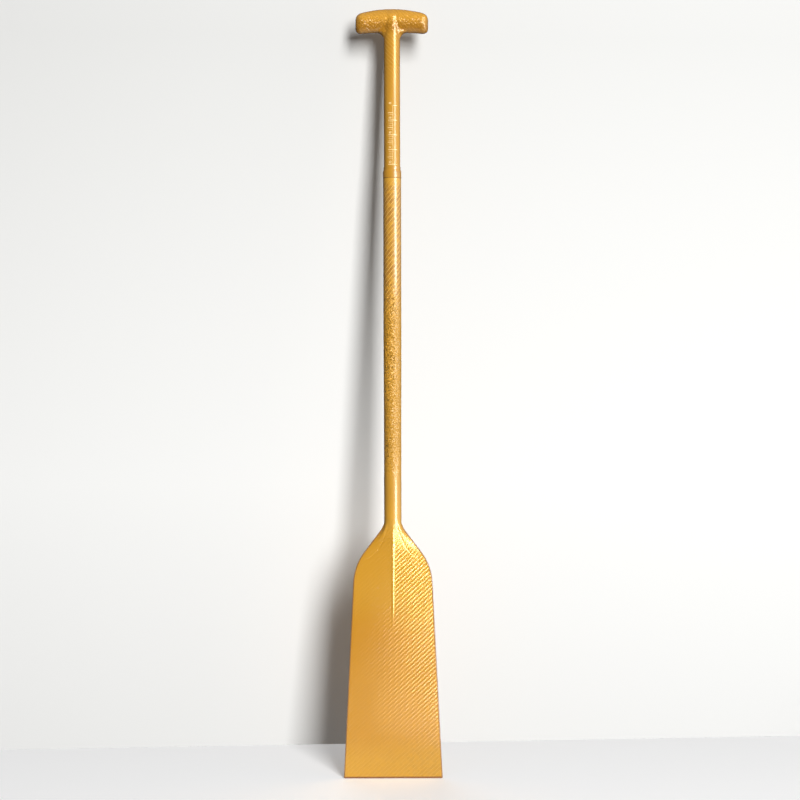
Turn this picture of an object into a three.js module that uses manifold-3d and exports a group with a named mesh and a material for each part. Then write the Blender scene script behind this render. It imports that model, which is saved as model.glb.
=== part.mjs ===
// A dragon boat paddle whose length can be set: a T grip on a stem that slides in the shaft, and a
// foam-cored blade in two laminate skins. All sizes are in millimetres.
// +Z runs from the blade's end edge up to the grip, +X lies across the blade, and the front face looks to -Y.

import * as THREE from "three";
import { mergeVertices } from "three/addons/utils/BufferGeometryUtils.js";
import Module from "manifold-3d";

const wasm = await Module();
wasm.setup();

// Fits that every sub-part shares
const bondGap = 0.3; // glue line between two bonded pieces
const cutOverrun = 6; // how far a cutting solid runs past what it cuts
const roundSides = 36;
const formSides = 20; // round the grip and the spine

// Blade outline, as straight sides and sloping shoulders with rounded corners
const tipWidth = 171.5;
const shoulderWidth = 134.5; // where the side and the shoulder line would cross
const sideLength = 369; // end edge up to that crossing
const shoulderRise = 69; // that crossing up to the shaft's side
const shoulderRadius = 95;
const neckRadius = 34;

// Blade thickness, measured from the middle plane
const edgeThickness = 4;
const spineEndThickness = 11; // at the middle, where the ridge has faded out
const ridgeLength = 175; // neck down to there
const ridgeFallShare = 1.9; // power with which the ridge falls away
const tipThickness = 4.3; // at the middle of the end edge
const tipFallShare = 0.8;
const skinThickness = 0.9;
const neckBlendLength = 20; // over which the round neck turns into two sloping faces with steep flanks
const lensBlendLength = 56; // over which those faces turn into one shallow curve
const coreTopDrop = 24; // below the neck, where the foam cores end

// The two sloping faces stay less steep than this; near the neck a flank along the edge makes up the rest
const faceSlopeShare = 0.26; // fall, of the run
const faceSlopePowerCount = 4; // how sharply the slope levels off there
const flankShare = 0.78; // where the flank starts, of the half width

// Edge strips and end guard
const stripWidth = 2;
const stripEndWidth = 0.6;
const stripTopDrop = 9; // below the neck, where the strips end
const stripFade = 18; // over which a strip thins out below its end
const stripRounding = 0.8;
const guardHeight = 3;
const guardCorner = 2.4;
const guardBevel = 0.5;

// Shaft
const shaftLowerDiameter = 30;
const shaftUpperDiameter = 31;
const shaftWall = 0.95;
const shaftLength = 600.5;
const taperClearance = 60; // from the tang's top to the foot of the shaft's taper
const tangInsertion = 85;
const tangTipHalfWidth = 1.6;
const floatPlugLength = 30;
const floatPlugClearance = 8; // under the stem when the handle is fully in
const plugChamfer = 1;

// Length scale, in steps that mark the overall length
const markSpacing = 25.4;
const marksAboveRimCount = 4.5; // from the length that the paddle is set to up to the shortest
const marksBelowRimCount = 1.5; // and down to the longest
const labelMargin = 8;
const labelThickness = 0.15;
const labelGap = 0.1;
const labelWidth = 24; // round the stem

// Handle stem
const stemDiameter = 28.2;
const stemWall = 1.5;
const exposedStem = 226.5; // shaft rim up to the grip's neck
const glueLength = 78;
const glueReliefDepth = 0.5;
const glueClearance = 0.15; // to the shaft's bore
const glueToLabel = 8;
const glueToStemEnd = 9;
const endPlugFlange = 3;
const endPlugFlangeInset = 0.7;
const endPlugDepth = 20;
const spigotDepth = 36; // into the stem
const spigotRise = 30; // into the grip, above its neck

// Seal band over the joint
const bandAbove = 9.8;
const bandBelow = 9.8;
const bandThickness = 0.25;
const bandGap = 0.1;
const bandTaper = 5.5;
const bandToLabel = 0.1;

// T grip
const gripSpan = 126;
const gripCrownDrop = 9.7; // fall of the crown from the middle to the ends
const gripUnderDrop = 3.2;
const gripMiddleHeight = 40.6;
const gripMiddleDepth = 24;
const gripEndDepth = 27;
const gripEndRounding = 9; // seen from the front
const gripNoseRounding = 13; // seen from above
const gripShellThickness = 1.5;
const gripNeckLength = 16.7; // neck end up to the arm's underside
const gripFillet = 14;
const gripWebDepth = 21;
const neckBuryShare = 0.92; // how far the neck runs up the bar, of the bar's height
const webBuryShare = 0.3;

const bladeColour = 0xe0a044;
const edgeColour = 0x9a6a34;
const foamColour = 0xf0e2b4;
const glueColour = 0xe8dcc0;
const plasticColour = 0x6e5a38;

// Blade outline worked out: angles from the vertical, and where the rounded corners start and end
const neckHalf = shaftLowerDiameter / 2;
const tipHalf = tipWidth / 2;
const shoulderHalf = shoulderWidth / 2;
const sideAngle = Math.atan2(tipHalf - shoulderHalf, sideLength);
const shoulderAngle = Math.atan2(shoulderHalf - neckHalf, shoulderRise);
const shoulderTangent = shoulderRadius * Math.tan((shoulderAngle - sideAngle) / 2);
const neckTangent = neckRadius * Math.tan(shoulderAngle / 2);
const neckCorner = sideLength + shoulderRise;
const neckTop = neckCorner + neckTangent;
const shoulderStart = sideLength - shoulderTangent * Math.cos(sideAngle);
const shoulderEnd = sideLength + shoulderTangent * Math.cos(shoulderAngle);
const neckStart = neckCorner - neckTangent * Math.cos(shoulderAngle);
const shoulderCentre = {
  x: shoulderHalf + shoulderTangent * Math.sin(sideAngle) - shoulderRadius * Math.cos(sideAngle),
  z: shoulderStart - shoulderRadius * Math.sin(sideAngle),
};
const neckCentre = { x: neckHalf + neckRadius, z: neckTop };

// Heights along the shaft and the stem
const rim = neckTop + shaftLength;
const tangTop = neckTop + tangInsertion;
const labelTop = rim + marksAboveRimCount * markSpacing + labelMargin;
const labelBottom = rim - marksBelowRimCount * markSpacing - labelMargin;
const glueTop = labelBottom - glueToLabel;
const glueBottom = glueTop - glueLength;
const stemBottom = glueBottom - glueToStemEnd;
const stemLowest = stemBottom - bondGap - endPlugFlange;
const travelIn = marksAboveRimCount * markSpacing;
const floatPlugTop = stemLowest - travelIn - floatPlugClearance;
const floatPlugBottom = floatPlugTop - floatPlugLength;
const taperFoot = tangTop + taperClearance;
const gripNeckEnd = rim + exposedStem;
const stemTop = gripNeckEnd - bondGap;
const armUnderside = gripNeckEnd + gripNeckLength;
const crown = armUnderside + gripMiddleHeight;

// Radii that nest in each other
const stemRadius = stemDiameter / 2;
const stemBore = stemRadius - stemWall;
const boreRadius = shaftUpperDiameter / 2 - shaftWall;
const tangRadius = neckHalf - shaftWall - bondGap;
const spigotRadius = Math.min(stemBore, stemRadius - gripShellThickness) - bondGap;

const lerp = THREE.MathUtils.lerp;
const smoothstep = THREE.MathUtils.smoothstep;

// A geometry with only its merged positions, its faces pointing out
function closed(geometry) {
  const bare = new THREE.BufferGeometry();
  bare.setAttribute("position", geometry.getAttribute("position"));
  bare.setIndex(geometry.index);
  const merged = mergeVertices(bare);
  const at = merged.getAttribute("position");
  const corners = Array.from(merged.index.array);
  const point = (i) => new THREE.Vector3().fromBufferAttribute(at, i);
  const kept = [];
  let volume = 0;
  for (let i = 0; i < corners.length; i += 3) {
    const [a, b, c] = corners.slice(i, i + 3);
    if (a === b || b === c || a === c) continue;
    kept.push([a, b, c]);
    volume += point(a).dot(point(b).cross(point(c)));
  }
  merged.setIndex(kept.flatMap(([a, b, c]) => (volume < 0 ? [a, c, b] : [a, b, c])));
  return merged;
}

function fromTriangles(points, triangles) {
  const geometry = new THREE.BufferGeometry();
  geometry.setAttribute("position", new THREE.Float32BufferAttribute(points.flat(), 3));
  geometry.setIndex(triangles.flat());
  return closed(geometry);
}

// A closed solid between two grids of points with the same rows and columns
function between(near, far) {
  const rows = near.length;
  const columns = near[0].length;
  const index = (side, i, j) => side * rows * columns + i * columns + j;
  const triangles = [];
  const quad = (a, b, c, d) => triangles.push([a, b, c], [a, c, d]);
  for (let i = 0; i + 1 < rows; i++)
    for (let j = 0; j + 1 < columns; j++) {
      quad(index(0, i, j), index(0, i, j + 1), index(0, i + 1, j + 1), index(0, i + 1, j));
      quad(index(1, i, j), index(1, i + 1, j), index(1, i + 1, j + 1), index(1, i, j + 1));
    }
  for (let i = 0; i + 1 < rows; i++) {
    quad(index(0, i, 0), index(0, i + 1, 0), index(1, i + 1, 0), index(1, i, 0));
    const last = columns - 1;
    quad(index(0, i, last), index(1, i, last), index(1, i + 1, last), index(0, i + 1, last));
  }
  for (let j = 0; j + 1 < columns; j++) {
    quad(index(0, 0, j), index(1, 0, j), index(1, 0, j + 1), index(0, 0, j + 1));
    const last = rows - 1;
    quad(index(0, last, j), index(0, last, j + 1), index(1, last, j + 1), index(1, last, j));
  }
  return fromTriangles([...near.flat(), ...far.flat()], triangles);
}

// A closed solid skinned over rings of points, with a flat fan on each end
function loft(rings) {
  const around = rings[0].length;
  const points = rings.flat();
  const triangles = [];
  for (let i = 0; i + 1 < rings.length; i++)
    for (let j = 0; j < around; j++) {
      const [a, b] = [i * around + j, i * around + ((j + 1) % around)];
      triangles.push([a, b, b + around], [a, b + around, a + around]);
    }
  for (const [i, ring] of [[0, rings[0]], [rings.length - 1, rings.at(-1)]]) {
    const middle = points.push([0, 1, 2].map((k) => ring.reduce((sum, p) => sum + p[k], 0) / around)) - 1;
    for (let j = 0; j < around; j++) {
      const edge = [i * around + j, i * around + ((j + 1) % around)];
      triangles.push(i === 0 ? [middle, edge[1], edge[0]] : [middle, ...edge]);
    }
  }
  return fromTriangles(points, triangles);
}

// A solid turned about the shaft's axis from [radius, height] pairs
function turned(profile) {
  const outline = profile.map(([radius, height]) => new THREE.Vector2(radius, height));
  if (outline[0].x > 0) outline.push(outline[0].clone());
  return closed(new THREE.LatheGeometry(outline, roundSides).rotateX(Math.PI / 2));
}

function solidOf(geometry) {
  const vertProperties = geometry.getAttribute("position").array;
  return new wasm.Manifold(
    new wasm.Mesh({ numProp: 3, vertProperties, triVerts: new Uint32Array(geometry.index.array) }),
  );
}

function geometryOf(solid) {
  const { vertProperties, triVerts } = solid.getMesh();
  const geometry = new THREE.BufferGeometry();
  geometry.setAttribute("position", new THREE.BufferAttribute(new Float32Array(vertProperties), 3));
  geometry.setIndex(new THREE.BufferAttribute(triVerts, 1));
  return geometry;
}

// Half the blade's width at a height, and how square to X its outline stands there
function outlineAt(z) {
  if (z < shoulderStart)
    return { half: tipHalf - z * Math.tan(sideAngle), square: Math.cos(sideAngle) };
  if (z < shoulderEnd) {
    const angle = Math.asin((z - shoulderCentre.z) / shoulderRadius);
    return { half: shoulderCentre.x + shoulderRadius * Math.cos(angle), square: Math.cos(angle) };
  }
  if (z < neckStart)
    return { half: neckHalf + (neckCorner - z) * Math.tan(shoulderAngle), square: Math.cos(shoulderAngle) };
  if (z < neckTop) {
    const angle = Math.asin((neckCentre.z - z) / neckRadius);
    return { half: neckCentre.x - neckRadius * Math.cos(angle), square: Math.cos(angle) };
  }
  return { half: neckHalf, square: 1 };
}

// Half the thickness at the blade's middle
function crestAt(z) {
  const ridgeFoot = neckTop - ridgeLength;
  if (z > ridgeFoot) {
    const up = Math.min((z - ridgeFoot) / ridgeLength, 1);
    return lerp(spineEndThickness / 2, neckHalf, up ** ridgeFallShare);
  }
  return lerp(tipThickness / 2, spineEndThickness / 2, (z / ridgeFoot) ** tipFallShare);
}

const roundness = (z) => smoothstep(z, neckTop - neckBlendLength, neckTop);
const edgeHalfAt = (z) => (edgeThickness / 2) * (1 - roundness(z));

// Half the thickness at a share of the half width
function thicknessAt(share, z) {
  const rise = crestAt(z) - edgeThickness / 2;
  const straight = rise / outlineAt(z).half;
  const kept = (1 + (straight / faceSlopeShare) ** faceSlopePowerCount) ** (-1 / faceSlopePowerCount);
  const flankRise = 1 - kept * flankShare;
  const facet = share < flankShare
    ? lerp(1, flankRise, share / flankShare)
    : (flankRise * (1 - share)) / (1 - flankShare);
  const lens = 1 - share * share;
  const ridgeFoot = neckTop - ridgeLength;
  const flatter = lerp(lens, facet, smoothstep(z, ridgeFoot, ridgeFoot + lensBlendLength));
  const height = lerp(flatter, Math.sqrt(Math.max(1 - share * share, 0)), roundness(z));
  return lerp(edgeHalfAt(z), crestAt(z), height);
}

// Columns over half the width: one on the middle, one where the flank starts, one on the edge
const halfColumns = 8;
const flankColumn = 5;
function columnShare(column) {
  const spread = Math.sin((Math.PI / 2) * Math.abs(column / halfColumns));
  const bend = Math.sin((Math.PI / 2) * (flankColumn / halfColumns));
  const share = spread < bend
    ? (flankShare * spread) / bend
    : lerp(flankShare, 1, (spread - bend) / (1 - bend));
  return Math.sign(column) * share;
}

function steps(from, to, count) {
  return Array.from({ length: count }, (_, i) => lerp(from, to, i / count));
}

// Heights of the blade's rows of points, close together where the outline bends
const stripTop = neckTop - stripTopDrop;
const coreTop = neckTop - coreTopDrop;
const bladeRows = [
  ...steps(guardHeight + bondGap, shoulderStart, 7),
  ...steps(shoulderStart, shoulderEnd, 6),
  ...steps(shoulderEnd, coreTop, 5),
  ...steps(coreTop, stripTop, 3),
  ...steps(stripTop, neckTop, 5),
  neckTop,
];

// Width of the edge strip at a height, and how far it and its glue line hold the skins in
const stripAt = (z) => lerp(stripWidth, stripEndWidth, smoothstep(z, stripTop - stripFade, stripTop));
const skinInset = (z) =>
  ((stripAt(z) + bondGap) / outlineAt(z).square) * (1 - smoothstep(z, stripTop, neckTop));

// Half a skin's width, and how far its surface stands from the middle plane, at a depth under its outside
const skinHalfAt = (z, depth) => outlineAt(z).half - skinInset(z) - depth * roundness(z);
function skinHeightAt(share, z, depth) {
  const flat = thicknessAt(share, z) - depth;
  const round = thicknessAt(share, z) * (1 - depth / neckHalf);
  return Math.max(lerp(flat, round, roundness(z)), 0) + bondGap / 2;
}

function bladeSkin(side) {
  const columns = Array.from({ length: 2 * halfColumns + 1 }, (_, i) => i - halfColumns);
  const grid = (depth) =>
    bladeRows.map((z) =>
      columns.map((column) => {
        const share = columnShare(column);
        return [share * skinHalfAt(z, depth), side * skinHeightAt(Math.abs(share), z, depth), z];
      }),
    );
  return between(grid(0), grid(skinThickness));
}

// Half the room between the skins at a place across the blade, less a glue line
function insideAt(x, z) {
  const share = Math.min(Math.abs(x) / skinHalfAt(z, skinThickness), 1);
  return skinHeightAt(share, z, skinThickness) - bondGap;
}

// The spine's tang: round in the shaft, then a bar as deep as the blade's inside that narrows to its tip
function tangHalfAt(z) {
  const foot = neckTop - ridgeLength;
  return lerp(tangTipHalfWidth, tangRadius, Math.min((z - foot) / ridgeLength, 1));
}

function tang() {
  const foot = neckTop - ridgeLength;
  const heights = [foot, ...bladeRows.filter((z) => z > foot), tangTop];
  return loft(
    heights.map((z) =>
      Array.from({ length: formSides }, (_, i) => {
        const angle = (2 * Math.PI * i) / formSides;
        const x = tangHalfAt(z) * Math.cos(angle);
        const round = tangRadius * Math.sin(angle);
        const room = insideAt(x, Math.min(z, neckTop));
        return [x, Math.sign(round) * Math.min(Math.abs(round), room), z];
      }),
    ),
  );
}

function foamCore(side) {
  const foot = neckTop - ridgeLength;
  const heights = [...bladeRows.filter((z) => z <= coreTop), foot - 2 * bondGap, foot];
  heights.sort((a, b) => a - b);
  const columns = 6;
  const grid = (face) =>
    heights.map((z) => {
      const inner = z < foot ? bondGap / 2 : tangHalfAt(z) + bondGap;
      return Array.from({ length: columns + 1 }, (_, i) => {
        const x = lerp(inner, skinHalfAt(z, 0), i / columns);
        return [side * x, face * insideAt(x, z), z];
      });
    });
  return between(grid(-1), grid(1));
}

function edgeStrip(side) {
  return loft(
    bladeRows.filter((z) => z <= stripTop).map((z) => {
      const { half, square } = outlineAt(z);
      const thick = edgeHalfAt(z) + bondGap / 2;
      const round = Math.min(stripRounding, stripAt(z) / 2, thick / 2);
      const inner = half - stripAt(z) / square;
      return [
        [inner, -thick],
        [half - round, -thick],
        [half, round - thick],
        [half, thick - round],
        [half - round, thick],
        [inner, thick],
      ].map(([x, y]) => [side * x, y, z]);
    }),
  );
}

// The guard along the end edge, with its two corners rounded: its lower side is the flat to stand on
function endGuard() {
  const half = tipHalf - guardBevel;
  const round = guardCorner - guardBevel;
  const shape = new THREE.Shape();
  shape.moveTo(-half, guardHeight - guardBevel);
  shape.absarc(guardCorner - tipHalf, guardCorner, round, Math.PI, 1.5 * Math.PI, false);
  shape.absarc(tipHalf - guardCorner, guardCorner, round, 1.5 * Math.PI, 2 * Math.PI, false);
  shape.lineTo(half, guardHeight - guardBevel);
  const thickness = edgeThickness + bondGap;
  const geometry = new THREE.ExtrudeGeometry(shape, {
    depth: thickness - 2 * guardBevel,
    bevelSize: guardBevel,
    bevelThickness: guardBevel,
    bevelSegments: 1,
    curveSegments: 5,
  });
  geometry.translate(0, 0, guardBevel - thickness / 2);
  return closed(geometry.rotateX(Math.PI / 2));
}

function shaftTube() {
  const upper = shaftUpperDiameter / 2;
  return turned([
    [neckHalf, neckTop + bondGap],
    [neckHalf, taperFoot],
    [upper, floatPlugBottom],
    [upper, rim],
    [boreRadius, rim],
    [boreRadius, floatPlugBottom],
    [neckHalf - shaftWall, taperFoot],
    [neckHalf - shaftWall, neckTop + bondGap],
  ]);
}

function floatPlug() {
  const radius = boreRadius - bondGap;
  return turned([
    [0, floatPlugBottom],
    [radius - plugChamfer, floatPlugBottom],
    [radius, floatPlugBottom + plugChamfer],
    [radius, floatPlugTop - plugChamfer],
    [radius - plugChamfer, floatPlugTop],
    [0, floatPlugTop],
  ]);
}

// An elastic band that grips the shaft's end and closes on the stem above it
function sealBand() {
  const onShaft = shaftUpperDiameter / 2 + bandGap;
  const onStem = stemRadius + labelGap + labelThickness + bandToLabel;
  const foot = rim - bandBelow;
  const seat = rim + bondGap;
  return turned([
    [onShaft, foot],
    [onShaft, seat],
    [onStem, seat + bandTaper],
    [onStem, rim + bandAbove],
    [onStem + bandThickness, rim + bandAbove],
    [onStem + bandThickness, seat + bandTaper],
    [onShaft + bandThickness, seat + bandThickness],
    [onShaft + bandThickness, foot],
  ]);
}

function stemTube() {
  const relieved = stemRadius - glueReliefDepth;
  return turned([
    [stemRadius, stemBottom],
    [stemRadius, glueBottom - bondGap],
    [relieved, glueBottom - bondGap],
    [relieved, glueTop + bondGap],
    [stemRadius, glueTop + bondGap],
    [stemRadius, stemTop],
    [stemBore, stemTop],
    [stemBore, stemBottom],
  ]);
}

function glueSleeve() {
  const inner = stemRadius - glueReliefDepth + labelGap;
  const outer = boreRadius - glueClearance;
  return turned([
    [outer, glueBottom],
    [outer, glueTop],
    [inner, glueTop],
    [inner, glueBottom],
  ]);
}

// The printed scale: a thin film bent round the front of the stem
function scaleLabel() {
  const inner = stemRadius + labelGap;
  const step = (2 * Math.PI) / roundSides;
  const halfSteps = Math.round(labelWidth / 2 / stemRadius / step);
  const angles = Array.from({ length: 2 * halfSteps + 1 }, (_, i) => (i - halfSteps) * step);
  const grid = (radius) =>
    [labelBottom, labelTop].map((z) =>
      angles.map((angle) => [radius * Math.sin(angle), -radius * Math.cos(angle), z]),
    );
  return between(grid(inner + labelThickness), grid(inner));
}

function endPlug() {
  const body = stemBore - bondGap;
  const flange = stemRadius - endPlugFlangeInset;
  const seat = stemBottom - bondGap;
  return turned([
    [0, stemLowest],
    [flange - plugChamfer, stemLowest],
    [flange, stemLowest + plugChamfer],
    [flange, seat],
    [body, seat],
    [body, seat + endPlugDepth - plugChamfer],
    [body - plugChamfer, seat + endPlugDepth],
    [0, seat + endPlugDepth],
  ]);
}

function gripSpigot() {
  const low = gripNeckEnd - spigotDepth;
  const high = gripNeckEnd + spigotRise;
  return turned([
    [0, low],
    [spigotRadius - plugChamfer, low],
    [spigotRadius, low + plugChamfer],
    [spigotRadius, high - plugChamfer],
    [spigotRadius - plugChamfer, high],
    [0, high],
  ]);
}

// The grip's form, drawn in all round by an inset: an arched oval bar on a neck, with a web in each corner
function gripForm(inset, neckLow) {
  const end = gripSpan / 2 - inset;
  const rounding = gripEndRounding - Math.min(inset, gripEndRounding / 2);
  const nose = gripNoseRounding - Math.min(inset, gripNoseRounding / 2);
  const drawnIn = (x, radius) => {
    const past = Math.max(Math.abs(x) - (end - radius), 0);
    return radius - Math.sqrt(Math.max(radius * radius - past * past, 0));
  };
  const arms = 3;
  const noseSteps = 4;
  const stations = [...steps(0, end - nose, arms)];
  for (let i = 0; i <= noseSteps; i++)
    stations.push(end - nose + nose * Math.sin(((Math.PI / 2) * i) / noseSteps));
  const ringAt = (x) => {
    const out = (2 * Math.abs(x)) / gripSpan;
    const top = crown - gripCrownDrop * out * out - inset;
    const bottom = armUnderside - gripUnderDrop * out * out + inset;
    const high = (top - bottom) / 2 - drawnIn(x, rounding);
    const deep = lerp(gripMiddleDepth, gripEndDepth, out) / 2 - inset - drawnIn(x, nose);
    return Array.from({ length: formSides }, (_, i) => {
      const angle = (2 * Math.PI * i) / formSides;
      return [x, deep * Math.cos(angle), (top + bottom) / 2 + high * Math.sin(angle)];
    });
  };
  const outward = stations.slice(1).map((x) => ringAt(-x)).reverse();
  const bar = loft([...outward, ...stations.map(ringAt)]);
  const neckHigh = armUnderside + gripMiddleHeight * neckBuryShare;
  const radius = stemRadius - inset;
  const neck = turned([
    [0, neckLow],
    [radius, neckLow],
    [radius, neckHigh - radius],
    [radius * Math.cos(Math.PI / 4), neckHigh - radius + radius * Math.sin(Math.PI / 4)],
    [0, neckHigh],
  ]);
  const webFoot = armUnderside - gripFillet;
  const webSteps = 4;
  const webRings = Array.from({ length: webSteps + 1 }, (_, i) => {
    const climb = gripFillet * Math.sin(((Math.PI / 2) * i) / webSteps);
    const flare = gripFillet - Math.sqrt(gripFillet * gripFillet - climb * climb);
    return { z: webFoot + climb, half: stemRadius + flare - inset };
  });
  webRings.push({ z: armUnderside + gripMiddleHeight * webBuryShare, half: webRings.at(-1).half });
  const web = loft(
    webRings.map(({ z, half }) =>
      Array.from({ length: formSides }, (_, i) => {
        const angle = (2 * Math.PI * i) / formSides;
        return [half * Math.cos(angle), (gripWebDepth / 2 - inset) * Math.sin(angle), z];
      }),
    ),
  );
  return [bar, neck, web].map(solidOf).reduce((whole, piece) => whole.add(piece));
}

const gripHollow = gripForm(gripShellThickness, gripNeckEnd - cutOverrun);
const gripWall = gripForm(0, gripNeckEnd).subtract(gripHollow);

function gripShell(side) {
  const deep = gripMiddleDepth / 2 + cutOverrun;
  const tall = crown - gripNeckEnd + 2 * cutOverrun;
  const half = new THREE.BoxGeometry(gripSpan + 2 * cutOverrun, deep, tall);
  half.translate(0, side * (deep + bondGap) / 2, (crown + gripNeckEnd) / 2);
  return geometryOf(gripWall.intersect(solidOf(closed(half))));
}

function gripCore() {
  const form = gripForm(gripShellThickness + bondGap, gripNeckEnd + spigotRise / 2);
  const hole = turned([
    [0, gripNeckEnd - cutOverrun],
    [spigotRadius + bondGap, gripNeckEnd - cutOverrun],
    [spigotRadius + bondGap, gripNeckEnd + spigotRise + bondGap],
    [0, gripNeckEnd + spigotRise + bondGap],
  ]);
  return geometryOf(form.subtract(solidOf(hole)));
}

const paddle = new THREE.Group();

function add(group, name, geometry, color, roughness) {
  const mesh = new THREE.Mesh(geometry, new THREE.MeshStandardMaterial({ color, roughness, metalness: 0 }));
  mesh.name = name;
  group.add(mesh);
}

// Blade and shaft, which stay together
const blade = new THREE.Group();
add(blade, "blade_skin_front", bladeSkin(-1), bladeColour, 0.25);
add(blade, "blade_skin_back", bladeSkin(1), bladeColour, 0.25);
add(blade, "blade_foam_core_left", foamCore(-1), foamColour, 0.9);
add(blade, "blade_foam_core_right", foamCore(1), foamColour, 0.9);
add(blade, "blade_spine_tang", tang(), foamColour, 0.8);
add(blade, "blade_edge_strip_left", edgeStrip(-1), edgeColour, 0.4);
add(blade, "blade_edge_strip_right", edgeStrip(1), edgeColour, 0.4);
add(blade, "blade_end_guard", endGuard(), edgeColour, 0.4);
paddle.add(blade);

const shaft = new THREE.Group();
add(shaft, "shaft_tube", shaftTube(), bladeColour, 0.2);
add(shaft, "shaft_float_plug", floatPlug(), foamColour, 0.9);
add(shaft, "joint_seal_band", sealBand(), bladeColour, 0.35);
paddle.add(shaft);

// Handle, which slides in the shaft
const handle = new THREE.Group();
add(handle, "stem_tube", stemTube(), bladeColour, 0.2);
add(handle, "stem_end_plug", endPlug(), plasticColour, 0.5);
add(handle, "stem_glue_sleeve", glueSleeve(), glueColour, 0.5);
add(handle, "length_scale_label", scaleLabel(), bladeColour, 0.3);
add(handle, "grip_spigot", gripSpigot(), plasticColour, 0.5);
add(handle, "grip_foam_core", gripCore(), foamColour, 0.9);
add(handle, "grip_shell_front", gripShell(-1), bladeColour, 0.2);
add(handle, "grip_shell_back", gripShell(1), bladeColour, 0.2);
paddle.add(handle);

export default paddle;
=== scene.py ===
# %% [markdown]
# # A dragon boat paddle
#
# This lesson dresses an adjustable dragon boat paddle: a T grip on a stem that slides in a round shaft,
# and a flat-ended blade with a ridge that fades out below the neck. On the real paddle all the outer
# pieces are glass-fibre cloth in gold-tinted epoxy, laid up in moulds and finished with a clear gloss coat.
#
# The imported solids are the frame: they give every place and size, and they move with the joints. Each
# outer piece is made again here as a finer mesh in the same place, and the inner ones are shown as packed.

# %% Load the frame
import math

import bmesh
import bpy
import numpy as np
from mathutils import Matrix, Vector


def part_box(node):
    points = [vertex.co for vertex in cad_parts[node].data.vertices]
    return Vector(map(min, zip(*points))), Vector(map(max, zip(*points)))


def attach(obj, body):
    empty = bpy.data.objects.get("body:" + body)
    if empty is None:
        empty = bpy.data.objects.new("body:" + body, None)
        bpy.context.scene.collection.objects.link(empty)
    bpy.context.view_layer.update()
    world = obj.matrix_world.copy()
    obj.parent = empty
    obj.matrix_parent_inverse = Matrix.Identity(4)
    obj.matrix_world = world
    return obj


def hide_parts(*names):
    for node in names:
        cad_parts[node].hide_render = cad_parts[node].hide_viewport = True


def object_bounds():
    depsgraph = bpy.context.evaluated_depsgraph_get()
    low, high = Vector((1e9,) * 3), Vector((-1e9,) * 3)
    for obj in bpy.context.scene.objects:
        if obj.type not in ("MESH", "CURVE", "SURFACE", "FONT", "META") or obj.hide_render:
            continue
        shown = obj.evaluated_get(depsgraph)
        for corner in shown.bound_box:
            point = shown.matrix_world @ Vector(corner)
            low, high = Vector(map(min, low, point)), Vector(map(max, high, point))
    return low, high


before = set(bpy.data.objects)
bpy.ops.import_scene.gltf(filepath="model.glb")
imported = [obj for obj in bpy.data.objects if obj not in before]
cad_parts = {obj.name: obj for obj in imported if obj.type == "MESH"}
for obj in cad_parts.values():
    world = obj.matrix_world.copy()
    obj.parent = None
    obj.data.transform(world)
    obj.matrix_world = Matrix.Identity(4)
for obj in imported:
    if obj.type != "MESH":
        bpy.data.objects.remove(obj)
CAD_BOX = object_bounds()
MM = 0.001
HAIR = 0.04 * MM  # two fitted pieces touch, but for this
BOND_GAP = 0.3 * MM  # the glue line between two bonded pieces
print("paddle:", [round(1000 * v) for v in CAD_BOX[1] - CAD_BOX[0]], "mm")

# %% [markdown]
# ## Helpers
#
# A grid of points is the simplest way to describe a moulded surface: rows run along the paddle and
# columns across it. Two grids, outside and inside, close into a shell like a real laminate. A turned
# piece is the same grid with its columns joined in a ring. Each corner also stores where it lies on the
# cloth, counted in tows (the flat bundles of fibre), so that the weave follows the surface.

# %% Grids of points become meshes
WEAVE = "weave"
CRISP_DEGREES = 40


def lerp(a, b, t):
    return a + (b - a) * t


def smoothstep(t, low, high):
    t = np.clip((t - low) / (high - low), 0, 1)
    return t * t * (3 - 2 * t)


def quads_over(rows, columns, rows_join=False, columns_join=False):
    """Corner indices of the quads on a grid, and the row and column that each corner stands for."""
    i, j = np.mgrid[0 : rows - (not rows_join), 0 : columns - (not columns_join)]
    steps = [(i, j), (i, j + 1), (i + 1, j + 1), (i + 1, j)]
    quads = np.stack([(a % rows) * columns + b % columns for a, b in steps], -1)
    places = np.stack([np.stack([a, b], -1) for a, b in steps], -2)
    return quads.reshape(-1, 4), places.reshape(-1, 4, 2)


def make_piece(name, points, faces, cloth=None):
    """A smooth-shaded mesh object; cloth holds each corner's place on the weave, in tows."""
    mesh = bpy.data.meshes.new(name)
    mesh.from_pydata(points.reshape(-1, 3).tolist(), [], [list(map(int, f)) for f in faces])
    if cloth is not None:
        layer = mesh.uv_layers.new(name=WEAVE)
        layer.data.foreach_set("uv", np.asarray(cloth, float).ravel())
    piece = in_scene(name, mesh)
    tidy_normals(piece, CRISP_DEGREES)
    return piece


def in_scene(name, data):
    """An object of some data, linked to the scene."""
    made = bpy.data.objects.new(name, data)
    bpy.context.scene.collection.objects.link(made)
    return made


def tidy_normals(piece, crisp_degrees):
    """Faces point out, shading is smooth, and edges sharper than the angle stay crisp."""
    work = bmesh.new()
    work.from_mesh(piece.data)
    bmesh.ops.recalc_face_normals(work, faces=work.faces)
    work.to_mesh(piece.data)
    work.free()
    piece.data.shade_smooth()
    piece.data.set_sharp_from_angle(angle=math.radians(crisp_degrees))


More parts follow.
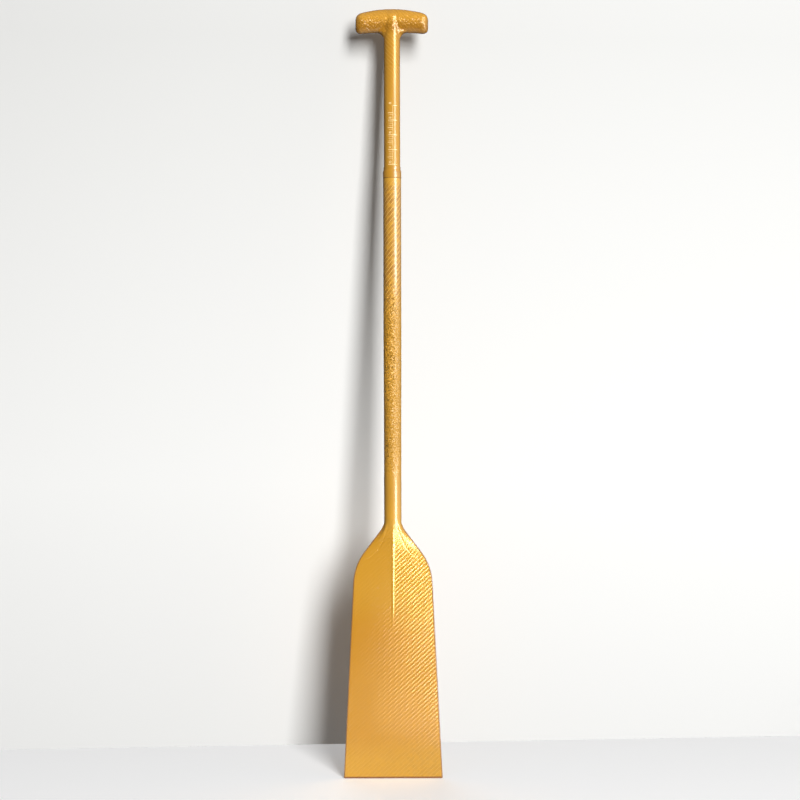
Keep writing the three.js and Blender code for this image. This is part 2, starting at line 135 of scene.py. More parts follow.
# %% Shells and solids from grids
def shell_between(name, outside, inside, cloth):
    """A closed shell between two grids with the same rows and columns."""
    rows, columns = outside.shape[:2]
    over, places = quads_over(rows, columns)
    count = rows * columns
    rim = [(0, j) for j in range(columns)] + [(i, columns - 1) for i in range(1, rows)]
    rim += [(rows - 1, j) for j in range(columns - 2, -1, -1)] + [(i, 0) for i in range(rows - 2, 0, -1)]
    rim = np.array(rim)
    ends = np.roll(rim, -1, axis=0)
    side = np.stack([rim, ends, ends, rim], 1)
    index = side[..., 0] * columns + side[..., 1]
    index[:, 2:] += count
    faces = np.concatenate([over, over[:, ::-1] + count, index])
    places = np.concatenate([places, places[:, ::-1], side])
    points = np.concatenate([outside.reshape(-1, 3), inside.reshape(-1, 3)])
    return make_piece(name, points, faces, cloth[places[..., 0], places[..., 1]])


def lofted(name, rings):
    """A closed solid over rings of points, with a flat face at each end."""
    rows, around = rings.shape[:2]
    over = quads_over(rows, around, columns_join=True)[0]
    faces = [*over, list(range(around))[::-1], list(range((rows - 1) * around, rows * around))]
    return make_piece(name, rings, faces)


# %% Turned pieces
SIDES = 96
TOW_COUNT = 48  # tows round the shaft and the stem: a whole number of repeats, so the weave closes
SHAFT_TOW = 2.24 * MM  # along the shaft, from the spacing of its ribs
STEM_TOW = 1.85 * MM


def turned(name, profile, tow=SHAFT_TOW):
    """A ring turned about the paddle's axis from a closed profile of [radius, height] pairs."""
    profile = np.array(profile, float)
    angles = np.arange(SIDES) * 2 * math.pi / SIDES
    radius, height = profile[:, :1], profile[:, 1:]
    points = np.stack([radius * np.sin(angles), -radius * np.cos(angles), height + 0 * angles], -1)
    faces, places = quads_over(len(profile), SIDES, rows_join=True, columns_join=True)
    across = places[..., 1] * TOW_COUNT / SIDES
    along = profile[places[..., 0] % len(profile), 1] / tow
    return make_piece(name, points, faces, np.stack([across, along], -1))


print("turned pieces:", SIDES, "sides,", TOW_COUNT, "tows round")

# %% [markdown]
# ## Colours and nodes
#
# Colours are written as sRGB hex values, the way a picture editor shows them, and one function turns
# them to the linear values that a shader needs. One small function adds a node with its settings and
# links, so a material reads as a short list.

# %% Colour and node helpers
WHITE = 0xFFFFFF


def linear(colour):
    """The linear RGBA of an sRGB hex value."""
    channels = [(colour >> shift & 255) / 255 for shift in (16, 8, 0)]
    return [c / 12.92 if c <= 0.04045 else ((c + 0.055) / 1.055) ** 2.4 for c in channels] + [1.0]


def node(tree, kind, inputs=None, **settings):
    """Adds a node. inputs maps a socket's name or number to a value, a hex colour or another output."""
    made = tree.nodes.new(kind)
    for name, value in settings.items():
        setattr(made, name, value)
    for key, value in (inputs or {}).items():
        socket = made.inputs[key]
        if isinstance(value, bpy.types.NodeSocket):
            tree.links.new(value, socket)
        else:
            socket.default_value = linear(value) if socket.type == "RGBA" else value
    return made


def new_material(name):
    """An empty material and its node tree."""
    material = bpy.data.materials.new(name)
    material.use_nodes = True
    material.node_tree.nodes.clear()
    return material, material.node_tree


def place_on_piece(tree):
    """The X, Y and Z outputs of a point's place, in metres from the middle of the blade's end."""
    place = node(tree, "ShaderNodeTexCoord")
    return node(tree, "ShaderNodeSeparateXYZ", {0: place.outputs["Object"]}).outputs


# %% [markdown]
# ## The cloth
#
# The cloth is a 2 by 2 twill: each tow goes over two and under two, one step further on each time, and
# the floats line up in diagonal ribs. A picture of the weave would do, but arithmetic is sharper at any
# size: the whole part of a place says which two tows cross there, their difference says which lies on
# top, and the fractional part says how far across the tow the point is. The table below spells that out,
# one step a line. A lean of 1 makes ribs that rise to the right, and -1 ribs that fall.
#
# A Bump node would guess the slope of a tow from its neighbours a pixel away, and a pixel of the picture
# is nearly as wide as a tow. So the slopes are worked out too, as the sines' own derivatives, and a Normal
# Map node turns them into a surface direction.

# %% Twill arithmetic
QUARTER_TURN = math.pi / 2
END_STEEPNESS = 0.15
TWILL_STEPS = (
    ("column", "FLOOR", "u"),
    ("row", "FLOOR", "v"),
    ("across_warp", "FRACT", "u"),
    ("across_weft", "FRACT", "v"),
    ("from_warp", "SUBTRACT", "v", "column"),
    ("warp_cycle", "FLOORED_MODULO", "from_warp", 4.0),
    ("warp_arc", "MULTIPLY", "warp_cycle", QUARTER_TURN),
    ("warp_float", "SINE", "warp_arc"),
    ("warp_dive", "COSINE", "warp_arc"),
    ("from_weft", "SUBTRACT", "u", "row"),
    ("weft_shift", "SUBTRACT", "from_weft", 1.0),
    ("weft_cycle", "FLOORED_MODULO", "weft_shift", 4.0),
    ("weft_arc", "MULTIPLY", "weft_cycle", QUARTER_TURN),
    ("weft_float", "SINE", "weft_arc"),
    ("weft_dive", "COSINE", "weft_arc"),
    ("warp_turn", "MULTIPLY", "across_warp", math.pi),
    ("warp_crown", "SINE", "warp_turn"),
    ("warp_flank", "COSINE", "warp_turn"),
    ("weft_turn", "MULTIPLY", "across_weft", math.pi),
    ("weft_crown", "SINE", "weft_turn"),
    ("weft_flank", "COSINE", "weft_turn"),
    ("warp_lift", "MULTIPLY", "warp_float", "warp_crown"),
    ("weft_lift", "MULTIPLY", "weft_float", "weft_crown"),
    ("relief", "MAXIMUM", "warp_lift", "weft_lift"),
    ("warp_on_top", "GREATER_THAN", "warp_lift", "weft_lift"),
    ("weft_on_top", "SUBTRACT", 1.0, "warp_on_top"),
    ("warp_side", "MULTIPLY", "warp_float", "warp_flank"),
    ("warp_side_shown", "MULTIPLY", "warp_side", "warp_on_top"),
    ("weft_end", "MULTIPLY", "weft_dive", "weft_crown"),
    ("weft_end_slope", "MULTIPLY", "weft_end", END_STEEPNESS),
    ("slope_across", "MULTIPLY_ADD", "weft_end_slope", "weft_on_top", "warp_side_shown"),
    ("weft_side", "MULTIPLY", "weft_float", "weft_flank"),
    ("weft_side_shown", "MULTIPLY", "weft_side", "weft_on_top"),
    ("warp_end", "MULTIPLY", "warp_dive", "warp_crown"),
    ("warp_end_slope", "MULTIPLY", "warp_end", END_STEEPNESS),
    ("slope_along", "MULTIPLY_ADD", "warp_end_slope", "warp_on_top", "weft_side_shown"),
)


def twill(tree, lean):
    """The outputs of the table's steps by name: relief, lifts, which tow is on top, and the slopes."""
    place = node(tree, "ShaderNodeUVMap", uv_map=WEAVE)
    parts = node(tree, "ShaderNodeSeparateXYZ", {0: place.outputs[0]})
    leaned = node(tree, "ShaderNodeMath", {0: parts.outputs[0], 1: float(lean)}, operation="MULTIPLY")
    made = {"u": leaned.outputs[0], "v": parts.outputs[1]}
    for name, operation, *terms in TWILL_STEPS:
        inputs = {i: made.get(term, term) for i, term in enumerate(terms)}
        made[name] = node(tree, "ShaderNodeMath", inputs, operation=operation).outputs[0]
    return made


def surface_direction(tree, lean, weave, steepness, grain, scatter):
    """The surface's direction: it follows the tows' slopes and scatters from grain to grain."""
    channels = node(tree, "ShaderNodeSeparateColor", {0: grain.outputs["Color"]})
    tilts = []
    for slope, sign, channel in (("slope_across", -lean, 0), ("slope_along", -1, 1)):
        scaled = node(tree, "ShaderNodeMath", {0: weave[slope], 1: steepness}, operation="MULTIPLY")
        packed_slope = {0: scaled.outputs[0], 1: sign / 2, 2: 0.5}
        woven = node(tree, "ShaderNodeMath", packed_slope, operation="MULTIPLY_ADD")
        off = node(tree, "ShaderNodeMath", {0: channels.outputs[channel], 1: 0.5}, operation="SUBTRACT")
        scattered = {0: off.outputs[0], 1: scatter, 2: woven.outputs[0]}
        tilts.append(node(tree, "ShaderNodeMath", scattered, operation="MULTIPLY_ADD").outputs[0])
    packed = node(tree, "ShaderNodeCombineXYZ", {0: tilts[0], 1: tilts[1], 2: 1.0})
    turned_by = node(tree, "ShaderNodeNormalMap", {"Color": packed.outputs[0]}, uv_map=WEAVE)
    return turned_by.outputs[0]


print("twill:", len(TWILL_STEPS), "steps")

# %% [markdown]
# ## Gold-tinted glass-fibre laminate
#
# The cloth is glass fibre with a thin metal film, set in amber epoxy. The film makes the tows glint when
# the light runs across them, and leaves them even and calm when it does not, so the same cloth looks
# ribbed on the side of the blade that leans to the window and plain on the other. Painted ribs would look
# the same all over, so here the base's direction follows the tows. On the blade the woven colours are
# also painted bolder towards the right side and low down, as painted glints, and the tows made steeper
# there. Over it lies a clear coat of epoxy. On the blade the coat is thin and the weave prints through it.
# On the tubes it is mirror smooth, but for the stretch that the lower hand has rubbed dull. On the upper
# shaft and the grip the tows that run lengthwise are lighter than those across; lower down the woven
# colours fade out.
#
# The tows' widths come from the spacing of the ribs. Painted patterns are ruled by two small functions:
# one eases a value up the paddle, and one scales it across.

# %% Values that change over the paddle
PADDLE_LENGTH = CAD_BOX[1].z


def by_height(tree, stops):
    """A value or hex colour that eases from stop to stop up the paddle; a plain one stays as it is."""
    if not isinstance(stops, tuple):
        return stops
    height_share = {0: place_on_piece(tree)[2], 1: PADDLE_LENGTH}
    share = node(tree, "ShaderNodeMath", height_share, operation="DIVIDE")
    ramp = node(tree, "ShaderNodeValToRGB", {0: share.outputs[0]})
    ramp.color_ramp.interpolation = "EASE"
    elements = ramp.color_ramp.elements
    while len(elements) < len(stops):
        elements.new(1.0)
    for element, (height, value) in zip(elements, stops):
        element.position = height / PADDLE_LENGTH
        element.color = linear(value) if isinstance(value, int) else (value, value, value, 1)
    return ramp.outputs[0]


def by_side(tree, value, stops):
    """A value scaled by a share that changes evenly between two places across the paddle."""
    (left, left_share), (right, right_share) = stops
    span = {"From Min": left, "From Max": right, "To Min": left_share, "To Max": right_share}
    share = node(tree, "ShaderNodeMapRange", {"Value": place_on_piece(tree)[0], **span})
    return node(tree, "ShaderNodeMath", {0: value, 1: share.outputs[0]}, operation="MULTIPLY").outputs[0]


# %% Colour of the cloth
WARP_GOLD = 0xFFD06C
WEFT_GOLD = 0xC0842A
RESIN_GOLD = 0x90560C
CLOUDS_PER_METRE = 9.0  # slow drifts of tone
PATCH = 6 * MM  # where the resin lies thicker or thinner
GRAIN = 1.8 * MM  # of a rubbed coat, drawn as coarse as a pixel of the picture so that it shows


def cloth_colour(tree, weave, boldness, look, place, grain):
    """Light and dark tows in brown resin show through the gold as boldly as asked, with drifts and specks."""
    shown = node(tree, "ShaderNodeMapRange", {"Value": weave["warp_lift"], "From Min": 0.1, "From Max": 0.9})
    filled = node(tree, "ShaderNodeMapRange", {"Value": weave["relief"], "From Max": 0.6, "To Min": 0.25})
    colours = {"Factor": shown.outputs[0], "A": WEFT_GOLD, "B": WARP_GOLD}
    tows = node(tree, "ShaderNodeMix", colours, data_type="RGBA")
    colours = {"Factor": filled.outputs[0], "A": RESIN_GOLD, "B": tows.outputs[2]}
    woven = node(tree, "ShaderNodeMix", colours, data_type="RGBA")

    patches = node(tree, "ShaderNodeTexNoise", {"Vector": place, "Scale": 1 / PATCH, "Detail": 2.0})
    spread = {"From Min": 0.3, "From Max": 0.7, "To Min": 0.2, "To Max": 1.6}
    patchy = node(tree, "ShaderNodeMapRange", {"Value": patches.outputs[0], **spread})
    bold = node(tree, "ShaderNodeMath", {0: patchy.outputs[0], 1: boldness}, operation="MULTIPLY")
    colours = {"Factor": bold.outputs[0], "A": by_height(tree, look["gold"]), "B": woven.outputs[2]}
    cloth = node(tree, "ShaderNodeMix", colours, data_type="RGBA")

    clouds = node(tree, "ShaderNodeTexNoise", {"Vector": place, "Scale": CLOUDS_PER_METRE, "Detail": 3.0})
    shade = node(tree, "ShaderNodeMapRange", {"Value": clouds.outputs[0], "To Min": 0.95, "To Max": 1.04})
    off = node(tree, "ShaderNodeMath", {0: grain.outputs[0], 1: 0.5}, operation="SUBTRACT")
    specks = {0: off.outputs[0], 1: by_height(tree, look["speckle"]), 2: shade.outputs[0]}
    speckled = node(tree, "ShaderNodeMath", specks, operation="MULTIPLY_ADD")
    tinted = {0: cloth.outputs[2], 1: speckled.outputs[0]}
    return node(tree, "ShaderNodeVectorMath", tinted, operation="MULTIPLY").outputs[0]


# %% Laminate
COAT_ROUGHNESS = 0.06


def glass_fibre_laminate(name, lean, look):
    """
    Twill under a clear coat. A look gives, as plain values or as stops up the paddle, how bold the woven
    colours and how steep the tows are, how far the metal film and the roughness of the base go, the clear
    coat and the weave's print through it, the scatter and speckle of the rubbed grain, and the gold.
    Its shine and tint are the base's own, and its side, if any, scales the woven colours and the tows'
    slopes across the paddle, as a painted glint.
    """
    material, tree = new_material(name)
    weave = twill(tree, lean)
    place = node(tree, "ShaderNodeTexCoord").outputs["Object"]
    grain = node(tree, "ShaderNodeTexNoise", {"Vector": place, "Scale": 1 / GRAIN, "Detail": 1.0})
    boldness = by_height(tree, look["bold"])
    tilt = by_height(tree, look["tilt"])
    if "side" in look:
        boldness = by_side(tree, boldness, look["side"])
        tilt = by_side(tree, tilt, look["side"])
    print_through = by_height(tree, look["print"])
    scatter = by_height(tree, look["scatter"])
    shader = node(
        tree,
        "ShaderNodeBsdfPrincipled",
        {
            "Base Color": cloth_colour(tree, weave, boldness, look, place, grain),
            "Metallic": by_height(tree, look["film"]),
            "Roughness": by_height(tree, look["rough"]),
            "Specular IOR Level": look["shine"],
            "Specular Tint": look["tint"],
            "Normal": surface_direction(tree, lean, weave, tilt, grain, scatter),
            "Coat Weight": by_height(tree, look["gloss"]),
            "Coat Roughness": COAT_ROUGHNESS,
            "Coat IOR": 1.5,
            "Coat Normal": surface_direction(tree, lean, weave, print_through, grain, scatter),
        },
    )
    node(tree, "ShaderNodeOutputMaterial", {"Surface": shader.outputs[0]})
    return material


# %% Look of the blade
# Heights are metres above the blade's end
BLADE_GOLD = 0xDE971D
PAINTED_LIGHT_GOLD = 0xE8A62C
NECK_GOLD = 0xDCA02E
TOW_SHINE_TINT = 0xF0FFC0
BLADE_TILT = 0.38
BLADE_TILT_LOW = 0.56
BLADE_ROUGH = 0.18
BLADE_FILM = 0.15
BLADE_PRINT = 0.4
# Painted glints: the woven colours are painted bolder and the tows made steeper towards the right side
BLADE_PAINTED_GLINT_SIDES = ((-0.06, 0.5), (0.07, 1.5))  # the ribs stand out more towards the right side
FLAT = 0.02  # the slope, film or print of a weave that barely shows
TUBE_ROUGH = 0.5
BLADE_LOOK = {
    # bolder low down: a painted glint
    "bold": ((0.10, 0.14), (0.28, 0.06)),
    "tilt": ((0.10, BLADE_TILT_LOW), (0.25, BLADE_TILT), (0.42, BLADE_TILT), (0.45, FLAT)),
    "film": ((0.41, BLADE_FILM), (0.45, FLAT)),
    "rough": ((0.40, BLADE_ROUGH), (0.45, TUBE_ROUGH)),
    "gloss": 1.0,
    "print": ((0.41, BLADE_PRINT), (0.45, FLAT)),
    "scatter": 0.0,
    "speckle": 0.0,
    # paler near the end and on the upper blade: painted light
    "gold": (
        (0.02, PAINTED_LIGHT_GOLD),
        (0.08, BLADE_GOLD),
        (0.24, BLADE_GOLD),
        (0.33, PAINTED_LIGHT_GOLD),
        (0.42, PAINTED_LIGHT_GOLD),
        (0.45, NECK_GOLD),
    ),
    "shine": 1.0,
    "tint": TOW_SHINE_TINT,
    "side": BLADE_PAINTED_GLINT_SIDES,
}
blade_cloth = glass_fibre_laminate("glass_fibre_twill_thin_coat", 1, BLADE_LOOK)
print("blade laminate:", len(blade_cloth.node_tree.nodes), "nodes")

# %% Look of the shaft
TUBE_GOLD = 0xDCA232
FOOT_GOLD = 0xD2982E
RUBBED_GOLD = 0xCE942A
TUBE_SHINE_TINT = 0xE8FFF0
TUBE_SHINE = 0.6
SHAFT_BOLD = 0.9
RUBBED_TILT = 0.1
SHAFT_TILT = 0.22
DULL_SCATTER = 1.5
DULL_SPECKLE = 1.5
DULL_GLOSS = 0.3
SHAFT_LOOK = {
    "bold": ((0.78, 0.0), (0.86, SHAFT_BOLD), (1.02, SHAFT_BOLD), (1.04, 0.0)),
    "tilt": (
        (0.60, FLAT),
        (0.70, RUBBED_TILT),
        (0.80, RUBBED_TILT),
        (0.86, SHAFT_TILT),
        (1.02, SHAFT_TILT),
        (1.04, FLAT),
    ),
    "film": FLAT,
    "rough": TUBE_ROUGH,
    "gloss": ((0.49, 1.0), (0.56, DULL_GLOSS), (0.82, DULL_GLOSS), (0.89, 1.0)),
    "print": FLAT,
    "scatter": ((0.50, 0.0), (0.57, DULL_SCATTER), (0.80, DULL_SCATTER), (0.88, 0.0)),
    "speckle": ((0.62, 0.0), (0.70, DULL_SPECKLE), (0.84, DULL_SPECKLE), (0.90, 0.15)),
    "gold": (
        (0.45, NECK_GOLD),
        (0.50, FOOT_GOLD),
        (0.60, RUBBED_GOLD),
        (0.78, RUBBED_GOLD),
        (0.86, TUBE_GOLD),
    ),
    "shine": TUBE_SHINE,
    "tint": TUBE_SHINE_TINT,
}
shaft_cloth = glass_fibre_laminate("glass_fibre_twill_rising", 1, SHAFT_LOOK)
print("shaft laminate:", len(shaft_cloth.node_tree.nodes), "nodes")

# %% Look of the stem
STEM_GOLD = 0xCB922E
STEM_GLOSS = 0.6
GRIP_BOLD = 0.3
GRIP_TILT = 0.2
GRIP_FILM = 0.1
GRIP_ROUGH = 0.25
HANDLE_SHINE = 0.25
STEM_LOOK = {
    "bold": ((1.16, 0.15), (1.25, GRIP_BOLD)),
    "tilt": ((1.16, 0.06), (1.25, GRIP_TILT)),
    "film": ((1.16, FLAT), (1.25, GRIP_FILM)),
    "rough": ((1.16, TUBE_ROUGH), (1.25, GRIP_ROUGH)),
    "gloss": STEM_GLOSS,
    "print": FLAT,
    "scatter": 0.0,
    "speckle": 0.1,
    "gold": STEM_GOLD,
    "shine": HANDLE_SHINE,
    "tint": TUBE_SHINE_TINT,
}
handle_cloth = glass_fibre_laminate("glass_fibre_twill_falling", -1, STEM_LOOK)
print("stem laminate:", len(handle_cloth.node_tree.nodes), "nodes")

# %% Look of the grip
# It starts as the stem ends. The gold is darker under the arms, as painted shade, and lighter higher
# up, as painted light; the cloth glints along the arms
UNDERSIDE_PAINTED_SHADE_GOLD = 0xAE7618
CROWN_PAINTED_LIGHT_GOLD = 0xDA9D32
GRIP_SCATTER = 0.4
GLINT_SCATTER = 0.9
GRIP_LOOK = {
    "bold": ((1.27, GRIP_BOLD), (1.29, 0.2)),
    "tilt": ((1.27, GRIP_TILT), (1.29, 0.12)),
    "film": GRIP_FILM,
    "rough": GRIP_ROUGH,
    "gloss": ((1.27, STEM_GLOSS), (1.29, 0.9)),
    "print": ((1.27, FLAT), (1.29, 0.1)),
    "scatter": (
        (1.27, 0.0),
        (1.29, 0.3),
        (1.299, GRIP_SCATTER),
        (1.306, GLINT_SCATTER),
        (1.313, GLINT_SCATTER),
        (1.319, GRIP_SCATTER),
    ),
    "speckle": ((1.27, 0.1), (1.30, 0.5)),
    # darker under the arms as painted shade, lighter higher up as painted light
    "gold": (
        (1.286, STEM_GOLD),
        (1.296, UNDERSIDE_PAINTED_SHADE_GOLD),
        (1.303, UNDERSIDE_PAINTED_SHADE_GOLD),
        (1.317, CROWN_PAINTED_LIGHT_GOLD),
        (1.329, STEM_GOLD),
    ),
    "shine": HANDLE_SHINE,
    "tint": TUBE_SHINE_TINT,
}
grip_cloth = glass_fibre_laminate("glass_fibre_twill_grip_painted_shade", -1, GRIP_LOOK)
print("grip laminate:", len(grip_cloth.node_tree.nodes), "nodes")

# %% [markdown]
# ## Plain finishes
#
# The rest are plain: resin at the cut edge of the laminate, the amber film of the seal band, cream ink,
# and inside the paddle foam, moulded ABS and hot-melt glue. Each gets a fine mottle, because cast and
# moulded surfaces are never one flat colour.

# %% Plain finishes
def mottled(name, light, dark, grain, roughness, bump=0.02 * MM, coat=0.0):
    """A cast or moulded surface whose tone and height vary over grains of the size given."""
    material, tree = new_material(name)
    place = node(tree, "ShaderNodeTexCoord").outputs["Object"]
    noise = node(tree, "ShaderNodeTexNoise", {"Vector": place, "Scale": 1 / grain, "Detail": 3.0})
    colours = {"Factor": noise.outputs[0], "A": dark, "B": light}
    colour = node(tree, "ShaderNodeMix", colours, data_type="RGBA")
    normal = node(tree, "ShaderNodeBump", {"Distance": bump, "Height": noise.outputs[0]})
    shader = node(
        tree,
        "ShaderNodeBsdfPrincipled",
        {
            "Base Color": colour.outputs[2],
            "Roughness": roughness,
            "Normal": normal.outputs[0],
            "Coat Weight": coat,
            "Coat Roughness": COAT_ROUGHNESS,
        },
    )
    node(tree, "ShaderNodeOutputMaterial", {"Surface": shader.outputs[0]})
    return material


# Thickened epoxy, sanded and coated: satin and a little uneven
edge_resin = mottled("resin_edge", 0xB07C3A, 0x966428, 3 * MM, 0.35, coat=0.6)
end_resin = mottled("resin_end", 0x9E6A34, 0x865024, 3 * MM, 0.4, coat=0.4)
# Dark lines at the band: one round its foot, and a short one at the rim that is painted shade
dark_line_paint = mottled("dark_lines_and_painted_shade", 0x8A5A22, 0x7A4C1A, 1 * MM, 0.4)
# Shrunk film: a soft, smooth gloss
seal_film = mottled("amber_seal_film", 0xCA9028, 0xBE8620, 14 * MM, 0.45, bump=0.01 * MM, coat=1.0)
# Screen ink: opaque and nearly matt
cream_ink = mottled("cream_screen_ink", 0xFFEBB4, 0xFFE09C, 2 * MM, 0.45)
# Foam has open pores at its cut faces, ABS a fine texture from its mould, and glue is waxy
foam = mottled("closed_cell_foam", 0xF2E8C6, 0xDCCFA4, 0.8 * MM, 0.9, bump=0.2 * MM)
abs_plastic = mottled("moulded_abs", 0x7A6642, 0x685538, 1.5 * MM, 0.45)
hot_melt = mottled("hot_melt_glue", 0xF0E6C8, 0xE2D4B0, 5 * MM, 0.5, bump=0.1 * MM)
print("materials:", len(bpy.data.materials))

# %% Dress the pieces
HIDDEN_FINISHES = {
    "blade_foam_core_left": foam,
    "blade_foam_core_right": foam,
    "blade_spine_tang": foam,
    "shaft_float_plug": foam,
    "grip_foam_core": foam,
    "grip_spigot": abs_plastic,
    "stem_end_plug": abs_plastic,
    "stem_glue_sleeve": hot_melt,
}
for cad_name, finish in HIDDEN_FINISHES.items():
    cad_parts[cad_name].data.materials.clear()
    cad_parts[cad_name].data.materials.append(finish)


def dress(piece, material, body, replaced):
    """Gives a piece its material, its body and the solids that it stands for."""
    piece.data.materials.append(material)
    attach(piece, body)
    if replaced:
        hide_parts(*replaced)
    print(f"{piece.name}: {len(piece.data.polygons)} faces")


# %% [markdown]
# ## Blade outline
#
# Seen from the front the blade is two straight sides, two sloping shoulders and four round corners that
# join them. It could be drawn as a curve, but everything on the blade, from the skins to the beads, needs
# its width at some height. So a few sizes, and the arcs between them, give the half width at any height.

# %% Blade outline
NECK_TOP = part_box("blade_skin_front")[1].z
NECK_HALF = 15.0 * MM
TIP_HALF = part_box("blade_end_guard")[1].x
SHOULDER_HALF = 134.5 / 2 * MM
SIDE_LENGTH = 369 * MM
SHOULDER_RISE = 69 * MM
SHOULDER_RADIUS = 95 * MM
NECK_RADIUS = 34 * MM
GUARD_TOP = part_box("blade_end_guard")[1].z

side_angle = math.atan2(TIP_HALF - SHOULDER_HALF, SIDE_LENGTH)
shoulder_angle = math.atan2(SHOULDER_HALF - NECK_HALF, SHOULDER_RISE)
shoulder_tangent = SHOULDER_RADIUS * math.tan((shoulder_angle - side_angle) / 2)
neck_tangent = NECK_RADIUS * math.tan(shoulder_angle / 2)
neck_corner = SIDE_LENGTH + SHOULDER_RISE
shoulder_start = SIDE_LENGTH - shoulder_tangent * math.cos(side_angle)
shoulder_end = SIDE_LENGTH + shoulder_tangent * math.cos(shoulder_angle)
neck_start = neck_corner - neck_tangent * math.cos(shoulder_angle)
shoulder_centre_x = (
    SHOULDER_HALF + shoulder_tangent * math.sin(side_angle) - SHOULDER_RADIUS * math.cos(side_angle)
)
shoulder_centre_z = shoulder_start - SHOULDER_RADIUS * math.sin(side_angle)


def outline_half(z):
    """Half the blade's width at each height."""
    side = TIP_HALF - z * math.tan(side_angle)
    up = np.clip((z - shoulder_centre_z) / SHOULDER_RADIUS, -1, 1)
    shoulder = shoulder_centre_x + SHOULDER_RADIUS * np.sqrt(1 - up * up)
    slope = NECK_HALF + (neck_corner - z) * math.tan(shoulder_angle)
    down = np.clip((NECK_TOP - z) / NECK_RADIUS, 0, 1)
    neck = NECK_HALF + NECK_RADIUS * (1 - np.sqrt(1 - down * down))
    return np.select([z < shoulder_start, z < shoulder_end, z < neck_start], [side, shoulder, slope], neck)


print("blade:", round(2000 * TIP_HALF), "mm wide, neck at", round(1000 * NECK_TOP), "mm")

# %% [markdown]
# ## Blade thickness
#
# Down from the round neck the blade has two faces that fall away from a ridge. Each slopes gently, by
# 0.26 at most, to a line at 0.78 of the half width, and from there a flank falls to the edge. Near the
# neck, where the blade is thick and narrow, that leaves the flanks steep. Lower down the faces and flanks
# melt into one shallow curve.
#
# Two fine forms lie on top. The cloth is pinched in the mould along the ridge and leaves a thin bead,
# which catches the light as a bright line, and a shallow seam runs in a curve down each shoulder. All
# this could be sculpted, but sums of simple curves keep both skins alike and every size in one place.

# %% Blade thickness
EDGE_HALF = 2.0 * MM
SPINE_END_HALF = 5.5 * MM
TIP_CREST_HALF = 2.15 * MM
RIDGE_LENGTH = 175 * MM
RIDGE_POWER = 1.9  # with which the ridge falls away
TIP_POWER = 0.8
NECK_BLEND = 20 * MM
LENS_SPAN = 56 * MM
FACE_SLOPE = 0.26
LEVEL_OFF = 4
FLANK_SHARE = 0.78
ridge_foot = NECK_TOP - RIDGE_LENGTH


def roundness(z):
    return smoothstep(z, NECK_TOP - NECK_BLEND, NECK_TOP)


def crest_half(z):
    """Half the thickness at the middle of the blade."""
    up = np.clip((z - ridge_foot) / RIDGE_LENGTH, 0, 1)
    upper = lerp(SPINE_END_HALF, NECK_HALF, up**RIDGE_POWER)
    lower = lerp(TIP_CREST_HALF, SPINE_END_HALF, np.clip(z / ridge_foot, 0, 1) ** TIP_POWER)
    return np.where(z > ridge_foot, upper, lower)


def blade_half(share, z):
    """Half the blade's thickness at a share of its half width."""
    straight_slope = (crest_half(z) - EDGE_HALF) / outline_half(z)
    kept = (1 + (straight_slope / FACE_SLOPE) ** LEVEL_OFF) ** (-1 / LEVEL_OFF)
    flank_rise = 1 - kept * FLANK_SHARE
    facet = np.where(
        share < FLANK_SHARE,
        lerp(1, flank_rise, share / FLANK_SHARE),
        flank_rise * (1 - share) / (1 - FLANK_SHARE),
    )
    lens = 1 - share * share
    faces = lerp(lens, facet, smoothstep(z, ridge_foot, ridge_foot + LENS_SPAN))
    rise = lerp(faces, np.sqrt(np.maximum(lens, 0)), roundness(z))
    edge = EDGE_HALF * (1 - roundness(z))
    return lerp(edge, crest_half(z), rise)


print("ridge:", round(2000 * NECK_HALF), "mm thick at the neck,", round(2000 * SPINE_END_HALF), "at its foot")

# %% Pinched ridge and seams
RIDGE_BEAD = 0.75 * MM
RIDGE_BEAD_WIDTH = 1.9 * MM
RIDGE_FADE_LOW = (-25 * MM, 30 * MM)  # from the ridge's foot
RIDGE_FADE_HIGH = (-50 * MM, -15 * MM)  # from the neck's top
SEAM_DEPTH = 0.3 * MM
SEAM_WIDTH = 1.2 * MM
SEAM_HEIGHTS = np.array([372, 378, 384, 392, 399, 407, 411, 420, 430, 441]) * MM
SEAM_SHARES = np.array([0.97, 0.90, 0.72, 0.62, 0.56, 0.55, 0.54, 0.535, 0.53, 0.47])


def seam_share(z):
    """Where the curved seam runs down each shoulder, as a share of the half width."""
    return np.interp(z, SEAM_HEIGHTS, SEAM_SHARES)


def folds(x, half, z):
    """How far the pinched ridge stands out, less the depth of the two seams."""
    ridge_fade = smoothstep(z, ridge_foot + RIDGE_FADE_LOW[0], ridge_foot + RIDGE_FADE_LOW[1])
    ridge_fade *= 1 - smoothstep(z, NECK_TOP + RIDGE_FADE_HIGH[0], NECK_TOP + RIDGE_FADE_HIGH[1])
    seam_fade = smoothstep(z, SEAM_HEIGHTS[0], SEAM_HEIGHTS[2]) * (1 - roundness(z))
    to_seam = np.abs(x) - seam_share(z) * half
    ridge = RIDGE_BEAD * ridge_fade * np.exp(-((x / RIDGE_BEAD_WIDTH) ** 2))
    return ridge - SEAM_DEPTH * seam_fade * np.exp(-((to_seam / SEAM_WIDTH) ** 2))


print("seams:", round(1000 * (SEAM_HEIGHTS[-1] - SEAM_HEIGHTS[0])), "mm high")

# %% Rows and columns over the blade
STRIP_WIDTH = 2.0 * MM
STRIP_END_WIDTH = 0.6 * MM
STRIP_TOP_DROP = 9 * MM
STRIP_FADE = 18 * MM
SLOPE_STEP = 0.5 * MM
COLUMN_STEP = 4 * MM  # the columns draw together where the seam comes this near the edge
strip_top = NECK_TOP - STRIP_TOP_DROP

blade_rows = np.concatenate(
    [
        np.linspace(GUARD_TOP + HAIR, shoulder_start, 70, endpoint=False),
        np.linspace(shoulder_start, NECK_TOP - HAIR, 80),
    ]
)


